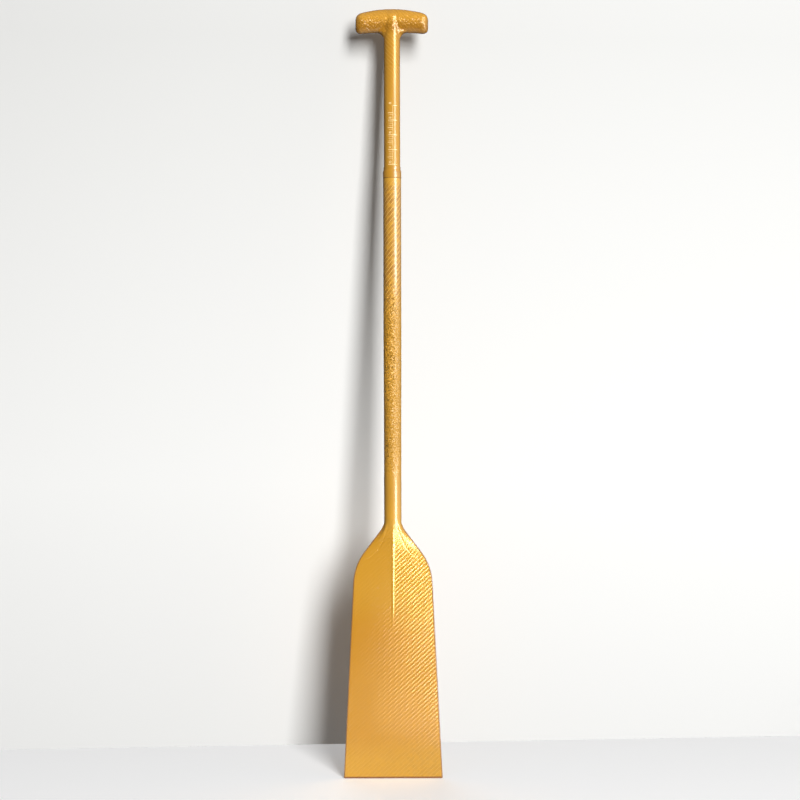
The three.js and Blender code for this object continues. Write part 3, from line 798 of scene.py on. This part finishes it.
def strip_width(z):
    return lerp(STRIP_WIDTH, STRIP_END_WIDTH, smoothstep(z, strip_top - STRIP_FADE, strip_top))


def outline_square(z):
    """The cosine that turns a width square to the outline into a width along X."""
    slope = (outline_half(z + SLOPE_STEP) - outline_half(z - SLOPE_STEP)) / (2 * SLOPE_STEP)
    return 1 / np.sqrt(1 + slope * slope)


def skin_half(z):
    """Half a skin's width: the outline less the edge strip."""
    strip_left = 1 - smoothstep(z, strip_top, NECK_TOP)
    return outline_half(z) - (strip_width(z) + HAIR) / outline_square(z) * strip_left


def half_columns(half, seam):
    """Places across half the blade: close together on the ridge, at the seam and at the edge."""
    ridge = np.array([0, 0.5, 1.0, 1.6, 2.3, 3.2, 4.5]) * MM
    bend = seam * half
    near = min(1, (half - bend) / COLUMN_STEP)
    fold = np.array([-3, -2, -1.4, -0.9, -0.45, 0, 0.45, 0.9, 1.4, 2, 3]) * MM * near
    inner = lerp(ridge[-1], bend + fold[0], np.linspace(0, 1, 10)[1:-1])
    outer = lerp(bend + fold[-1], half, np.sin(np.linspace(0, QUARTER_TURN, 9))[1:])
    return np.concatenate([ridge, inner, bend + fold, outer])


print("blade rows:", len(blade_rows))

# %% [markdown]
# ## Blade skins
#
# The blade is moulded as two skins, front and back: the same form, mirrored in the middle plane. A Solidify
# modifier could give a skin its wall, but towards the edge, where the blade is thin, the inside has to stay
# on its own half. So each skin is a closed shell of an outside grid, an inside grid 0.9 mm below it, and a
# rim.

# %% Blade skins
SKIN_THICKNESS = 0.9 * MM
LIFT = BOND_GAP / 2  # the skins lie this far out, as the solids do
BLADE_TOW = 2.1 * MM  # across the blade, from the spacing of its ribs
BLADE_TOW_UP = 1.88 * MM


def blade_skin(name, side):
    outside, inside, cloth = [], [], []
    for z in blade_rows:
        half = float(skin_half(z))
        right = half_columns(half, float(seam_share(z)))
        x = np.concatenate([-right[:0:-1], right])
        share = np.clip(np.abs(x) / half, 0, 1)
        turn = float(roundness(z))
        thick = blade_half(share, z)
        out = thick + folds(x, half, z) + LIFT
        flat_in = thick - SKIN_THICKNESS
        round_in = thick * (1 - SKIN_THICKNESS / NECK_HALF)
        inner = np.maximum(lerp(flat_in, round_in, turn), 0) + HAIR
        inner_x = x * (1 - turn * SKIN_THICKNESS / half)
        outside.append(np.stack([x, side * out, z + 0 * x], -1))
        inside.append(np.stack([inner_x, side * inner, z + 0 * x], -1))
        stretch = np.append(0, np.cumsum(np.hypot(np.diff(x), np.diff(out))))
        around = stretch - stretch[len(x) // 2]
        cloth.append(np.stack([around / BLADE_TOW, z / BLADE_TOW_UP + 0 * x], -1))
    return shell_between(name, np.array(outside), np.array(inside), np.array(cloth))


for face, side in (("front", -1), ("back", 1)):
    skin = blade_skin(f"blade_{face}_laminate", side)
    dress(skin, blade_cloth, "blade_and_shaft", [f"blade_skin_{face}"])

# %% [markdown]
# ## Edge strips and end guard
#
# Where the skins end, the cut edge is sealed with a bead of thickened resin, a thin brown line all round
# the blade. A bevelled curve could follow the outline, but the bead thins out at the neck, so it is lofted
# from rounded sections, each with a width of its own.

# %% Edge strips
STRIP_ROUNDING = 1.1 * MM


def rounded_section(low, high, thick, radius):
    """Half-round section: square towards the blade, rounded outside. Pairs of [out, through]."""
    turn = np.linspace(0, QUARTER_TURN, 5)
    first = np.stack([high - radius + radius * np.sin(turn), radius - thick - radius * np.cos(turn)], -1)
    second = first[::-1] * [1, -1]
    return np.concatenate([[[low, -thick]], first, second, [[low, thick]]])


def edge_strip(name, side):
    rows = blade_rows[blade_rows < strip_top]
    rings = []
    for z in rows:
        half = float(outline_half(z))
        width = float(strip_width(z) / outline_square(z))
        thick = EDGE_HALF * (1 - float(roundness(z))) + LIFT
        section = rounded_section(half - width, half, thick, min(STRIP_ROUNDING, width / 2, thick / 2))
        rings.append(np.stack([side * section[:, 0], section[:, 1], z + 0 * section[:, 0]], -1))
    return lofted(name, np.array(rings))


for hand, side in (("left", -1), ("right", 1)):
    strip = edge_strip(f"blade_edge_bead_{hand}", side)
    dress(strip, edge_resin, "blade_and_shaft", [f"blade_edge_strip_{hand}"])

# %% End guard
GUARD_CORNER = 2.4 * MM
GUARD_ROUNDING = 0.55 * MM


def end_guard(name):
    straight = TIP_HALF - GUARD_CORNER
    corner = GUARD_CORNER * np.sin(np.linspace(0, QUARTER_TURN, 7))
    middle = np.linspace(-straight, straight, 25)
    stations = np.concatenate([-straight - corner[:0:-1], middle, straight + corner[1:]])
    rings = []
    for x in stations:
        past = max(abs(x) - straight, 0)
        low = GUARD_CORNER - math.sqrt(max(GUARD_CORNER**2 - past**2, 0))
        section = rounded_section(-GUARD_TOP, -low, EDGE_HALF + LIFT, GUARD_ROUNDING)
        rings.append(np.stack([x + 0 * section[:, 0], section[:, 1], -section[:, 0]], -1))
    return lofted(name, np.array(rings))


dress(end_guard("blade_end_bead"), end_resin, "blade_and_shaft", ["blade_end_guard"])

# %% [markdown]
# ## Shaft, band and stem
#
# Shaft and stem are laminated tubes. A cylinder would do for a plain tube, but here each is turned from a
# profile, which holds its wall, taper and steps in one list. The shaft thickens a little towards its top,
# as the photo shows. The band is a film shrunk over the joint: it is level on the shaft and slopes in to
# the thinner stem just above the rim. A thin dark line runs round the shaft just under the band, and a
# short dark line at the rim is painted shade of the step that the rim makes under the film.

# %% Shaft
SHAFT_WALL = 0.95 * MM
TAPER_RISE = 145 * MM  # from the neck up to the foot of the taper
shaft_low, shaft_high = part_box("shaft_tube")
shaft_foot = shaft_low.z - BOND_GAP + HAIR
rim = shaft_high.z
shaft_top_radius = shaft_high.x
taper_foot = NECK_TOP + TAPER_RISE
taper_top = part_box("shaft_float_plug")[0].z

shaft = turned(
    "shaft_laminate",
    [
        [NECK_HALF, shaft_foot],
        [NECK_HALF, taper_foot],
        [shaft_top_radius, taper_top],
        [shaft_top_radius, rim],
        [shaft_top_radius - SHAFT_WALL, rim],
        [shaft_top_radius - SHAFT_WALL, taper_top],
        [NECK_HALF - SHAFT_WALL, taper_foot],
        [NECK_HALF - SHAFT_WALL, shaft_foot],
    ],
)
dress(shaft, shaft_cloth, "blade_and_shaft", ["shaft_tube"])

# %% Stem
STEM_WALL = 1.5 * MM
GLUE_RELIEF = 0.5 * MM  # the stem is turned down this far under the glue sleeve
stem_low, stem_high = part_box("stem_tube")
stem_radius = stem_high.x
grip_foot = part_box("grip_shell_front")[0].z
glue_low, glue_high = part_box("stem_glue_sleeve")
relieved = stem_radius - GLUE_RELIEF

stem = turned(
    "stem_laminate",
    [
        [stem_radius, stem_low.z],
        [stem_radius, glue_low.z - BOND_GAP],
        [relieved, glue_low.z - BOND_GAP],
        [relieved, glue_high.z + BOND_GAP],
        [stem_radius, glue_high.z + BOND_GAP],
        [stem_radius, grip_foot - HAIR],
        [stem_radius - STEM_WALL, grip_foot - HAIR],
        [stem_radius - STEM_WALL, stem_low.z],
    ],
    STEM_TOW,
)
dress(stem, handle_cloth, "handle", ["stem_tube"])

# %% Seal band
BAND_THICKNESS = 0.25 * MM
BAND_SHOULDER = 0.3 * MM  # above the rim, where the film starts to slope in
BAND_TAPER = 5.5 * MM
BAND_END_RISE = 0.6 * MM  # of its outside over the stem
BAND_EDGE = 0.12 * MM  # the bevel at both ends
band_low, band_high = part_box("joint_seal_band")
band_outer = band_high.x
band_inner = band_outer - BAND_THICKNESS
neck_outer = stem_radius + BAND_END_RISE
slope = np.linspace(0, 1, 7)
outer_slope = [
    [lerp(band_outer, neck_outer, ease), rim + BAND_SHOULDER + share * BAND_TAPER]
    for share, ease in zip(slope, smoothstep(slope, 0, 1))
]
inner_slope = [[r - BAND_THICKNESS, z] for r, z in outer_slope[::-1]]

band = turned(
    "joint_seal_film",
    [
        [band_outer - BAND_EDGE, band_low.z],
        [band_outer, band_low.z + BAND_EDGE],
        *outer_slope,
        [neck_outer, band_high.z - BAND_EDGE],
        [neck_outer - BAND_EDGE, band_high.z],
        [neck_outer - BAND_THICKNESS, band_high.z],
        *inner_slope,
        [band_inner, band_low.z],
    ],
)
dress(band, seal_film, "blade_and_shaft", ["joint_seal_band"])

# %% Dark line under the band
DARK_LINE_LIFT = 0.02 * MM
DARK_LINE_HEIGHT = 0.15 * MM  # over the shaft
DARK_LINE_WIDTH = 0.8 * MM
DARK_LINE_SLOPE = 0.2 * MM
dark_line = turned(
    "joint_dark_line",
    [
        [shaft_top_radius + DARK_LINE_LIFT, band_low.z - DARK_LINE_WIDTH],
        [shaft_top_radius + DARK_LINE_HEIGHT, band_low.z - DARK_LINE_WIDTH + DARK_LINE_SLOPE],
        [shaft_top_radius + DARK_LINE_HEIGHT, band_low.z - HAIR],
        [shaft_top_radius + DARK_LINE_LIFT, band_low.z - HAIR],
    ],
)
dress(dark_line, dark_line_paint, "blade_and_shaft", [])

# %% [markdown]
# ## Printed scale
#
# The stem carries a scale on a clear film: whole inches as long strokes across a base line, half inches
# as shorter ones and eighths as fine ones on its left, and plain numbers. The film shows the cloth under
# it. The marks could be a picture laid on the film, but that blurs close up, so each is a thin raised
# piece of ink, bent round the stem.

# %% Film
FILM_LIFT = 0.02 * MM
FILM_OUTSIDE = 0.1 * MM  # over the stem
FILM_REACH = 0.25 * MM  # over the stem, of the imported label's outside
film_low, film_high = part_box("length_scale_label")
film_angle = math.asin(film_high.x / (stem_radius + FILM_REACH))


def bent_shell(name, inner, outer, angles, heights):
    """A closed shell bent round the stem between two radii. Angle 0 faces the front."""
    angle, height = np.meshgrid(angles, heights)
    grids = [np.stack([r * np.sin(angle), -r * np.cos(angle), height], -1) for r in (outer, inner)]
    tows = angle / (2 * math.pi) * TOW_COUNT
    return shell_between(name, *grids, np.stack([tows, height / STEM_TOW], -1))


film = bent_shell(
    "length_scale_film",
    stem_radius + FILM_LIFT,
    stem_radius + FILM_OUTSIDE,
    np.linspace(-film_angle, film_angle, 49),
    [film_low.z, film_high.z],
)
dress(film, handle_cloth, "handle", ["length_scale_label"])

# %% Strokes
INCH = 25.4 * MM
INK = 0.03 * MM
STROKE = 1.0 * MM
FINE_STROKE = 0.5 * MM
STROKE_STEP = 0.6 * MM  # between two bends of a stroke
BASE_LINE = 1.5 * MM  # right of the front's middle
BASE_HALF_WIDTH = 0.2 * MM
INCH_RIGHT = 9.6 * MM
LEFT_ENDS = {0: -6.8 * MM, 4: -7.6 * MM}  # by eighths past the inch
FINE_LEFT = -5.9 * MM
READING_AT_RIM = 52.5
FIRST_MARK = 48
LAST_MARK = 54
ink_inner = stem_radius + FILM_OUTSIDE
ink_outer = ink_inner + INK


def stroke(name, left, right, low, high):
    """One stroke of ink, its ends given as lengths round the stem from the front's middle."""
    ends = np.array([left, right]) / ink_outer
    count = max(2, int(abs(right - left) / STROKE_STEP))
    return bent_shell(name, ink_inner, ink_outer, np.linspace(*ends, count), [low, high])


def mark_height(reading):
    return rim + (READING_AT_RIM - reading) * INCH


def mark(reading):
    """Inches cross the base line, halves and eighths end at it."""
    eighth = round(reading * 8) % 8
    left = BASE_LINE if reading == FIRST_MARK else LEFT_ENDS.get(eighth, FINE_LEFT)
    right = INCH_RIGHT if eighth == 0 else BASE_LINE
    thick = STROKE if eighth in LEFT_ENDS else FINE_STROKE
    z = mark_height(reading)
    return stroke(f"mark_{reading:.3f}", left, right, z - thick / 2, z + thick / 2)


line_ends = [mark_height(LAST_MARK), mark_height(FIRST_MARK)]
strokes = [stroke("base_line", BASE_LINE - BASE_HALF_WIDTH, BASE_LINE + BASE_HALF_WIDTH, *line_ends)]
for reading in np.arange(FIRST_MARK, LAST_MARK + 1 / 8, 1 / 8):
    under_number = round(reading * 8) % 8 > 5
    before_first_half = FIRST_MARK < reading < FIRST_MARK + 0.5
    if not under_number and not before_first_half:
        strokes.append(mark(reading))
print("strokes:", len(strokes))

# %% Numbers
NUMBER_HEIGHT = 4.8 * MM
NUMBER_RISE = 2.4 * MM
NUMBER_PLACE = -3.4 * MM
NUMBER_BOLD = 0.12 * MM


def mesh_points(mesh):
    """The mesh's points as an array with a row for each."""
    points = np.empty(len(mesh.vertices) * 3)
    mesh.vertices.foreach_get("co", points)
    return points.reshape(-1, 3)


def number(reading):
    """A plain number just above its stroke, left of the base line, bent round the stem."""
    text = bpy.data.curves.new(f"number_{reading}", "FONT")
    text.body = str(reading)
    text.size = NUMBER_HEIGHT
    text.align_x = "CENTER"
    text.extrude = INK / 2
    text.offset = NUMBER_BOLD
    flat = bpy.data.objects.new(f"number_{reading}", text)
    mesh = bpy.data.meshes.new_from_object(flat)
    bpy.data.objects.remove(flat)
    x, y, z = mesh_points(mesh).T
    angle = (x + NUMBER_PLACE) / ink_outer
    radius = ink_inner + INK / 2 + z
    height = mark_height(reading) + NUMBER_RISE + y
    bent = np.stack([radius * np.sin(angle), -radius * np.cos(angle), height], -1)
    mesh.vertices.foreach_set("co", bent.ravel())
    return in_scene(f"number_{reading}", mesh)


numbers = [number(reading) for reading in range(FIRST_MARK, LAST_MARK + 1)]
print("numbers:", len(numbers))

# %% Join and dress the print
RIM_SHADE_DEGREES = (10, 62)
RIM_SHADE_HEIGHT = 0.5 * MM
RIM_SHADE_THICKNESS = 0.03 * MM


def join(pieces, name):
    """Makes one object of several."""
    work = bmesh.new()
    for piece in pieces:
        work.from_mesh(piece.data)
        bpy.data.objects.remove(piece)
    mesh = bpy.data.meshes.new(name)
    work.to_mesh(mesh)
    work.free()
    return in_scene(name, mesh)


# A short dark line at the rim: painted shade of the rim's step under the film
rim_shade = bent_shell(
    "joint_rim_shade_line",
    band_outer,
    band_outer + RIM_SHADE_THICKNESS,
    np.linspace(*np.radians(RIM_SHADE_DEGREES), 20),
    [rim - RIM_SHADE_HEIGHT, rim],
)
dress(rim_shade, dark_line_paint, "blade_and_shaft", [])
dress(join(strokes, "scale_strokes"), cream_ink, "handle", [])
dress(join(numbers, "scale_numbers"), cream_ink, "handle", [])

# %% [markdown]
# ## T grip
#
# The grip is moulded in one flowing form: an arched bar with rounded noses, the round neck that runs up
# its middle as a soft ridge, and a web in each corner. Three simple closed forms make it. A boolean union
# of them would leave sharp creases, so a voxel remesh welds them into one skin, and smoothing turns every
# junction into a fillet. Then the skin is cut along the mould's parting plane into two half shells.

# %% Grip form
grip_low, grip_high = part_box("grip_shell_front")
crown = grip_high.z
GRIP_SPAN = 2 * grip_high.x
CROWN_DROP = 9.7 * MM
UNDER_DROP = 3.2 * MM
BAR_HEIGHT = 40.6 * MM
MIDDLE_DEPTH = 24 * MM
END_DEPTH = 27 * MM
END_ROUNDING = 9 * MM
NOSE_ROUNDING = 13 * MM
FILLET = 14 * MM
WEB_DEPTH = 21 * MM
WEB_BURY_SHARE = 0.3  # how far up into the bar the web runs, as a share of the bar's height
NECK_BURY_SHARE = 0.92
NECK_CAP_TURN = 0.97 * QUARTER_TURN  # the neck's dome stops just short of its pole
NECK_OVERRUN = 8 * MM  # below the grip's foot, where the neck is cut off
underside = crown - BAR_HEIGHT
AROUND = np.arange(48) * 2 * math.pi / 48


def drawn_in(x, radius):
    past = np.maximum(np.abs(x) - (GRIP_SPAN / 2 - radius), 0)
    return radius - np.sqrt(np.maximum(radius**2 - past**2, 0))


def grip_bar():
    nose = NOSE_ROUNDING * np.sin(np.linspace(0, QUARTER_TURN, 14))
    middle = np.linspace(0, GRIP_SPAN / 2 - NOSE_ROUNDING, 24, endpoint=False)
    right = np.concatenate([middle, GRIP_SPAN / 2 - NOSE_ROUNDING + nose])
    rings = []
    for x in np.concatenate([-right[:0:-1], right]):
        out = 2 * abs(x) / GRIP_SPAN
        top = crown - CROWN_DROP * out**2
        bottom = underside - UNDER_DROP * out**2
        high = (top - bottom) / 2 - drawn_in(x, END_ROUNDING)
        deep = lerp(MIDDLE_DEPTH, END_DEPTH, out) / 2 - drawn_in(x, NOSE_ROUNDING)
        heights = (top + bottom) / 2 + high * np.sin(AROUND)
        rings.append(np.stack([x + 0 * AROUND, deep * np.cos(AROUND), heights], -1))
    return lofted("grip_bar", np.array(rings))


def upright_form(name, half_widths, half_depths, heights):
    """A closed form of level oval rings."""
    sizes = zip(half_widths, half_depths, heights)
    rings = [np.stack([w * np.cos(AROUND), d * np.sin(AROUND), z + 0 * AROUND], -1) for w, d, z in sizes]
    return lofted(name, np.array(rings))


def grip_neck():
    top = underside + NECK_BURY_SHARE * BAR_HEIGHT
    cap = np.linspace(0, NECK_CAP_TURN, 10)
    radii = [stem_radius, *(stem_radius * np.cos(cap))]
    heights = [grip_low.z - NECK_OVERRUN, *(top - stem_radius + stem_radius * np.sin(cap))]
    return upright_form("grip_neck", radii, radii, heights)


def grip_web():
    climb = FILLET * np.sin(np.linspace(0, QUARTER_TURN, 12))
    halves = list(stem_radius + FILLET - np.sqrt(FILLET**2 - climb**2))
    heights = list(underside - FILLET + climb)
    halves.append(halves[-1])
    heights.append(underside + WEB_BURY_SHARE * BAR_HEIGHT)
    return upright_form("grip_web", halves, [WEB_DEPTH / 2] * len(halves), heights)


print("grip:", [round(1000 * v) for v in (GRIP_SPAN, END_DEPTH, crown - grip_low.z)], "mm")

# %% Weld and smooth the grip
VOXEL = 0.9 * MM
SMOOTH_PASSES = 14


def applied(piece):
    """Replaces a piece's mesh by what its modifiers make of it."""
    done = bpy.data.meshes.new_from_object(piece.evaluated_get(bpy.context.evaluated_depsgraph_get()))
    piece.modifiers.clear()
    piece.data = done
    return piece


grip = join([grip_bar(), grip_neck(), grip_web()], "grip")
remesh = grip.modifiers.new("weld", "REMESH")
remesh.mode = "VOXEL"
remesh.voxel_size = VOXEL
relax = grip.modifiers.new("fillets", "SMOOTH")
relax.factor = 0.5
relax.iterations = SMOOTH_PASSES
applied(grip)
print("grip:", len(grip.data.polygons), "faces")

# %% Cloth on the grip
ARM_DROP = 6 * MM  # of the arms' middle line, from the grip's middle to its ends
ARM_GIRTH_RADIUS = 17 * MM
ARM_STARTS = (10 * MM, 24 * MM)  # out from the middle, between which the cloth turns onto the arm
ARM_RISES = (-6 * MM, 2 * MM)  # and up, from the arms' underside


def grip_cloth_place(mesh):
    """Each corner's place on the cloth: wound round the neck, and round each arm further out."""
    x, y, z = mesh_points(mesh).T
    reach = np.abs(x)
    wound = stem_radius * np.arcsin(np.clip(reach / stem_radius, 0, 1))
    beyond = stem_radius * QUARTER_TURN + reach - stem_radius
    across = np.sign(x) * np.where(reach < stem_radius, wound, beyond)
    middle = (crown + underside) / 2 - ARM_DROP * (x / (GRIP_SPAN / 2)) ** 2
    round_arm = middle + ARM_GIRTH_RADIUS * np.arctan2(z - middle, np.abs(y))
    on_arm = smoothstep(reach, *ARM_STARTS) * smoothstep(z, *(underside + v for v in ARM_RISES))
    along = lerp(z, round_arm, on_arm)
    corners = np.empty(len(mesh.loops), int)
    mesh.loops.foreach_get("vertex_index", corners)
    circumference = 2 * math.pi * stem_radius
    return np.stack([across * TOW_COUNT / circumference, along / STEM_TOW], -1)[corners]


print("arms: cloth turns onto them", [round(1000 * v) for v in ARM_STARTS], "mm out")

# %% Half shells of the grip
SHELL_WALL = 1.5 * MM
GRIP_CRISP_DEGREES = 50


def cut_away(work, place, direction):
    """Cuts a mesh with a plane and drops what lies past it."""
    everything = work.verts[:] + work.edges[:] + work.faces[:]
    bmesh.ops.bisect_plane(work, geom=everything, plane_co=place, plane_no=direction, clear_outer=True)


def half_shell(name, side):
    """The front or back half of the grip, cut at the parting plane and given the laminate's wall."""
    work = bmesh.new()
    work.from_mesh(grip.data)
    cut_away(work, (0, 0, grip_low.z + HAIR), (0, 0, -1))
    cut_away(work, (0, side * HAIR / 2, 0), (0, -side, 0))
    mesh = bpy.data.meshes.new(name)
    work.to_mesh(mesh)
    work.free()
    mesh.uv_layers.new(name=WEAVE).data.foreach_set("uv", grip_cloth_place(mesh).ravel())
    half = in_scene(name, mesh)
    wall = half.modifiers.new("wall", "SOLIDIFY")
    wall.thickness = SHELL_WALL
    wall.offset = -1
    applied(half)
    tidy_normals(half, GRIP_CRISP_DEGREES)
    return half


for face, side in (("front", -1), ("back", 1)):
    shell = half_shell(f"grip_{face}_laminate", side)
    dress(shell, grip_cloth, "handle", [f"grip_shell_{face}"])
bpy.data.objects.remove(grip)

# %% [markdown]
# ## Floor and backdrop
#
# The paddle stands on a pale floor in front of a white wall that it nearly touches with its grip. The
# wall is only there for the eye: it takes the paddle's soft shadow, but other rays pass it, and seen from
# behind it is clear, so the paddle can be looked at from any side.
#
# Both are matt paint with no gloss at all, so no lamp shows in them. The floor glows faintly, which makes
# up for the light that a dark ceiling keeps from it, and the wall is painted a little greyer towards its
# top, as painted shade.

# %% Paint for the stage
FADE = {"From Min": 0.7, "From Max": 1.5}  # distance from the paddle over which the paint turns clear
UPPER = {"From Min": 0.5, "From Max": 1.3, "To Max": 1.0}  # heights between the two tones


def stage_material(name, colour, upper_colour, glow, one_sided):
    """Matt paint that eases to its upper tone and thins to clear; one-sided, it is clear from behind."""
    material, tree = new_material(name)
    place = place_on_piece(tree)
    squared = [node(tree, "ShaderNodeMath", {0: s, 1: 2.0}, operation="POWER").outputs[0] for s in place[:2]]
    total = node(tree, "ShaderNodeMath", {0: squared[0], 1: squared[1]}, operation="ADD")
    reach = node(tree, "ShaderNodeMath", {0: total.outputs[0]}, operation="SQRT")
    fade_inputs = {"Value": reach.outputs[0], **FADE}
    fade = node(tree, "ShaderNodeMapRange", fade_inputs, interpolation_type="SMOOTHSTEP")
    clear_share = fade.outputs[0]
    if one_sided:
        behind = node(tree, "ShaderNodeNewGeometry").outputs["Backfacing"]
        both = node(tree, "ShaderNodeMath", {0: clear_share, 1: behind}, operation="MAXIMUM")
        clear_share = both.outputs[0]
    upper = node(tree, "ShaderNodeMapRange", {"Value": place[2], **UPPER})
    tones = {"Factor": upper.outputs[0], "A": colour, "B": upper_colour}
    shade = node(tree, "ShaderNodeMix", tones, data_type="RGBA")
    paint = node(
        tree,
        "ShaderNodeBsdfPrincipled",
        {
            "Base Color": shade.outputs[2],
            "Roughness": 0.8,
            "Specular IOR Level": 0.0,
            "Emission Color": WHITE,
            "Emission Strength": glow,
        },
    )
    clear = node(tree, "ShaderNodeBsdfTransparent")
    mixed = node(tree, "ShaderNodeMixShader", {0: clear_share, 1: paint.outputs[0], 2: clear.outputs[0]})
    node(tree, "ShaderNodeOutputMaterial", {"Surface": mixed.outputs[0]})
    return material


floor_paint = stage_material("pale_floor", WHITE, WHITE, 0.07, False)
# the wall's greyer top is painted shade
wall_paint = stage_material("white_wall", 0xF5F5F3, 0xDADAD8, 0.0, True)
print("stage paints:", floor_paint.name, "and", wall_paint.name)

# %% Floor and backdrop
STAGE_REACH = 3.0
WALL_GAP = 0.257  # from the paddle's middle plane to the wall's foot
WALL_GAP_TOP = 0.054  # and at the crown's height
WALL_TURN = 0.066  # the wall stands a little nearer on the left
WALL_TOP = 2.2


def plane(name, corners, paint):
    mesh = bpy.data.meshes.new(name)
    mesh.from_pydata(corners, [], [(0, 1, 2, 3)])
    mesh.materials.append(paint)
    made = in_scene(name, mesh)
    return made


wall_lean = (WALL_GAP - WALL_GAP_TOP) / crown
wall_left = WALL_GAP - WALL_TURN * STAGE_REACH
wall_right = WALL_GAP + WALL_TURN * STAGE_REACH
floor = plane(
    "floor",
    [
        (-STAGE_REACH, -STAGE_REACH, 0),
        (STAGE_REACH, -STAGE_REACH, 0),
        (STAGE_REACH, STAGE_REACH, 0),
        (-STAGE_REACH, STAGE_REACH, 0),
    ],
    floor_paint,
)
wall = plane(
    "wall",
    [
        (-STAGE_REACH, wall_left, 0),
        (STAGE_REACH, wall_right, 0),
        (STAGE_REACH, wall_right - wall_lean * WALL_TOP, WALL_TOP),
        (-STAGE_REACH, wall_left - wall_lean * WALL_TOP, WALL_TOP),
    ],
    wall_paint,
)
floor.visible_diffuse = False
for ray in ("diffuse", "glossy", "transmission", "shadow"):
    setattr(wall, f"visible_{ray}", False)
print("wall leans", round(math.degrees(math.atan(wall_lean)), 1), "degrees")

# %% [markdown]
# ## Light
#
# The light is a tall window to the right of the camera. A lamp of its shape gives the crisp line down the
# round shaft. The floor would hide that lamp from the low part of the blade, so two lower lamps nearer by
# carry its reflection on down. A larger soft lamp nearer the camera gives the shadow, a weak one behind
# the wall lights the far side, and a pale room, a little darker on the left, fills the rest. The camera
# sees that room as plain white.

# %% Window seen in the gloss
WINDOW_AZIMUTH = 44.5
WINDOW_HALF_ANGLE = math.radians(13.8)
WINDOW_LEVEL = 12.5  # times white
TOE_LEVEL = 6.5


def lamp(name, azimuth, elevation, distance, width, height, watts, aim, hidden_from):
    """A rectangular lamp that faces the paddle. Azimuth is measured to the right of the camera."""
    light = bpy.data.lights.new(name, "AREA")
    light.shape = "RECTANGLE"
    light.size = width
    light.size_y = height
    light.energy = watts
    made = in_scene(name, light)
    a, e = math.radians(azimuth), math.radians(elevation)
    made.location = (
        distance * math.sin(a) * math.cos(e),
        -distance * math.cos(a) * math.cos(e),
        aim + distance * math.sin(e),
    )
    made.rotation_euler = (QUARTER_TURN - e, 0, a)
    for ray in hidden_from:
        setattr(made, f"visible_{ray}", False)


def window(name, distance, low, high, level):
    """A window seen from the paddle between the same two directions, however far it stands."""
    width = 2 * distance * math.tan(WINDOW_HALF_ANGLE)
    watts = level * math.pi * width * (high - low)
    middle = (low + high) / 2
    lamp(name, WINDOW_AZIMUTH, 0, distance, width, high - low, watts, middle, ["camera", "diffuse"])


window("window", 4.0, 0.0, 4.4, WINDOW_LEVEL)
window("window_foot", 0.9, 0.0, 0.31, WINDOW_LEVEL)
window("window_toe", 0.3, 0.0, 0.11, TOE_LEVEL)
print("window lamps:", len(bpy.data.lights))

# %% Soft lamps
SOFT_HEIGHT = 3.0
SOFT_AIM = 0.7


def soft_lamp(name, azimuth, elevation, distance, width, watts):
    """A broad lamp that lights the paddle but isn't mirrored in it."""
    hidden_from = ["camera", "glossy"]
    lamp(name, azimuth, elevation, distance, width, SOFT_HEIGHT, watts, SOFT_AIM, hidden_from)


soft_lamp("window_soft", azimuth=18.5, elevation=17, distance=5.0, width=1.4, watts=310)
soft_lamp("back_fill", azimuth=195, elevation=12, distance=4.0, width=3.0, watts=60)
print("all lamps:", len(bpy.data.lights))

# %% World
ROOM_LEFT = 0.11
ROOM_RIGHT = 0.8
CEILING = 0.3
world = bpy.data.worlds.new("pale_room")
bpy.context.scene.world = world
world.use_nodes = True
room = world.node_tree
room.nodes.clear()
direction = node(room, "ShaderNodeTexCoord")
sides = node(room, "ShaderNodeSeparateXYZ", {0: direction.outputs["Generated"]})
to_right = {"From Min": 0.7, "From Max": 0.95, "To Min": ROOM_LEFT, "To Max": ROOM_RIGHT}
across = node(
    room, "ShaderNodeMapRange", {"Value": sides.outputs[0], **to_right}, interpolation_type="SMOOTHSTEP"
)
to_ceiling = {"From Min": 0.35, "From Max": 0.95, "To Min": across.outputs[0], "To Max": CEILING}
level = node(
    room, "ShaderNodeMapRange", {"Value": sides.outputs[2], **to_ceiling}, interpolation_type="SMOOTHSTEP"
)
light_path = node(room, "ShaderNodeLightPath")
room_light = node(room, "ShaderNodeBackground", {"Color": WHITE, "Strength": level.outputs[0]})
white = node(room, "ShaderNodeBackground", {"Color": WHITE, "Strength": 1.0})
seen = node(
    room,
    "ShaderNodeMixShader",
    {0: light_path.outputs["Is Camera Ray"], 1: room_light.outputs[0], 2: white.outputs[0]},
)
node(room, "ShaderNodeOutputWorld", {"Surface": seen.outputs[0]})
print("world:", len(room.nodes), "nodes")

# %% [markdown]
# ## Camera
#
# The photo was taken with the sensor square to the paddle, about level with its middle and 13 mm to its
# right. It shows little perspective, so the lens is a long one, and the camera stands where a pixel of the
# picture covers 1.7348 mm at the paddle.

# %% Camera
PICTURE = 800
MM_PER_PIXEL = 1.7348
AXIS_COLUMN = 392.55
ROLL = math.radians(0.12)
FOOT_ROW = 778.0
FOCAL_PIXELS = 1450
camera_data = bpy.data.cameras.new("camera")
camera = in_scene("camera", camera_data)
bpy.context.scene.camera = camera
camera_data.sensor_width = 36
camera_data.lens = FOCAL_PIXELS * camera_data.sensor_width / PICTURE
camera.location = (
    (PICTURE / 2 - AXIS_COLUMN) * MM_PER_PIXEL * MM,
    -FOCAL_PIXELS * MM_PER_PIXEL * MM,
    (FOOT_ROW - PICTURE / 2) * MM_PER_PIXEL * MM,
)
camera.rotation_euler = (QUARTER_TURN, ROLL, 0)
camera_data.clip_start = 0.05
camera_data.clip_end = 50
bpy.context.scene.view_settings.view_transform = "Standard"
print("camera:", round(-camera.location.y, 2), "m away, lens", round(camera_data.lens), "mm")
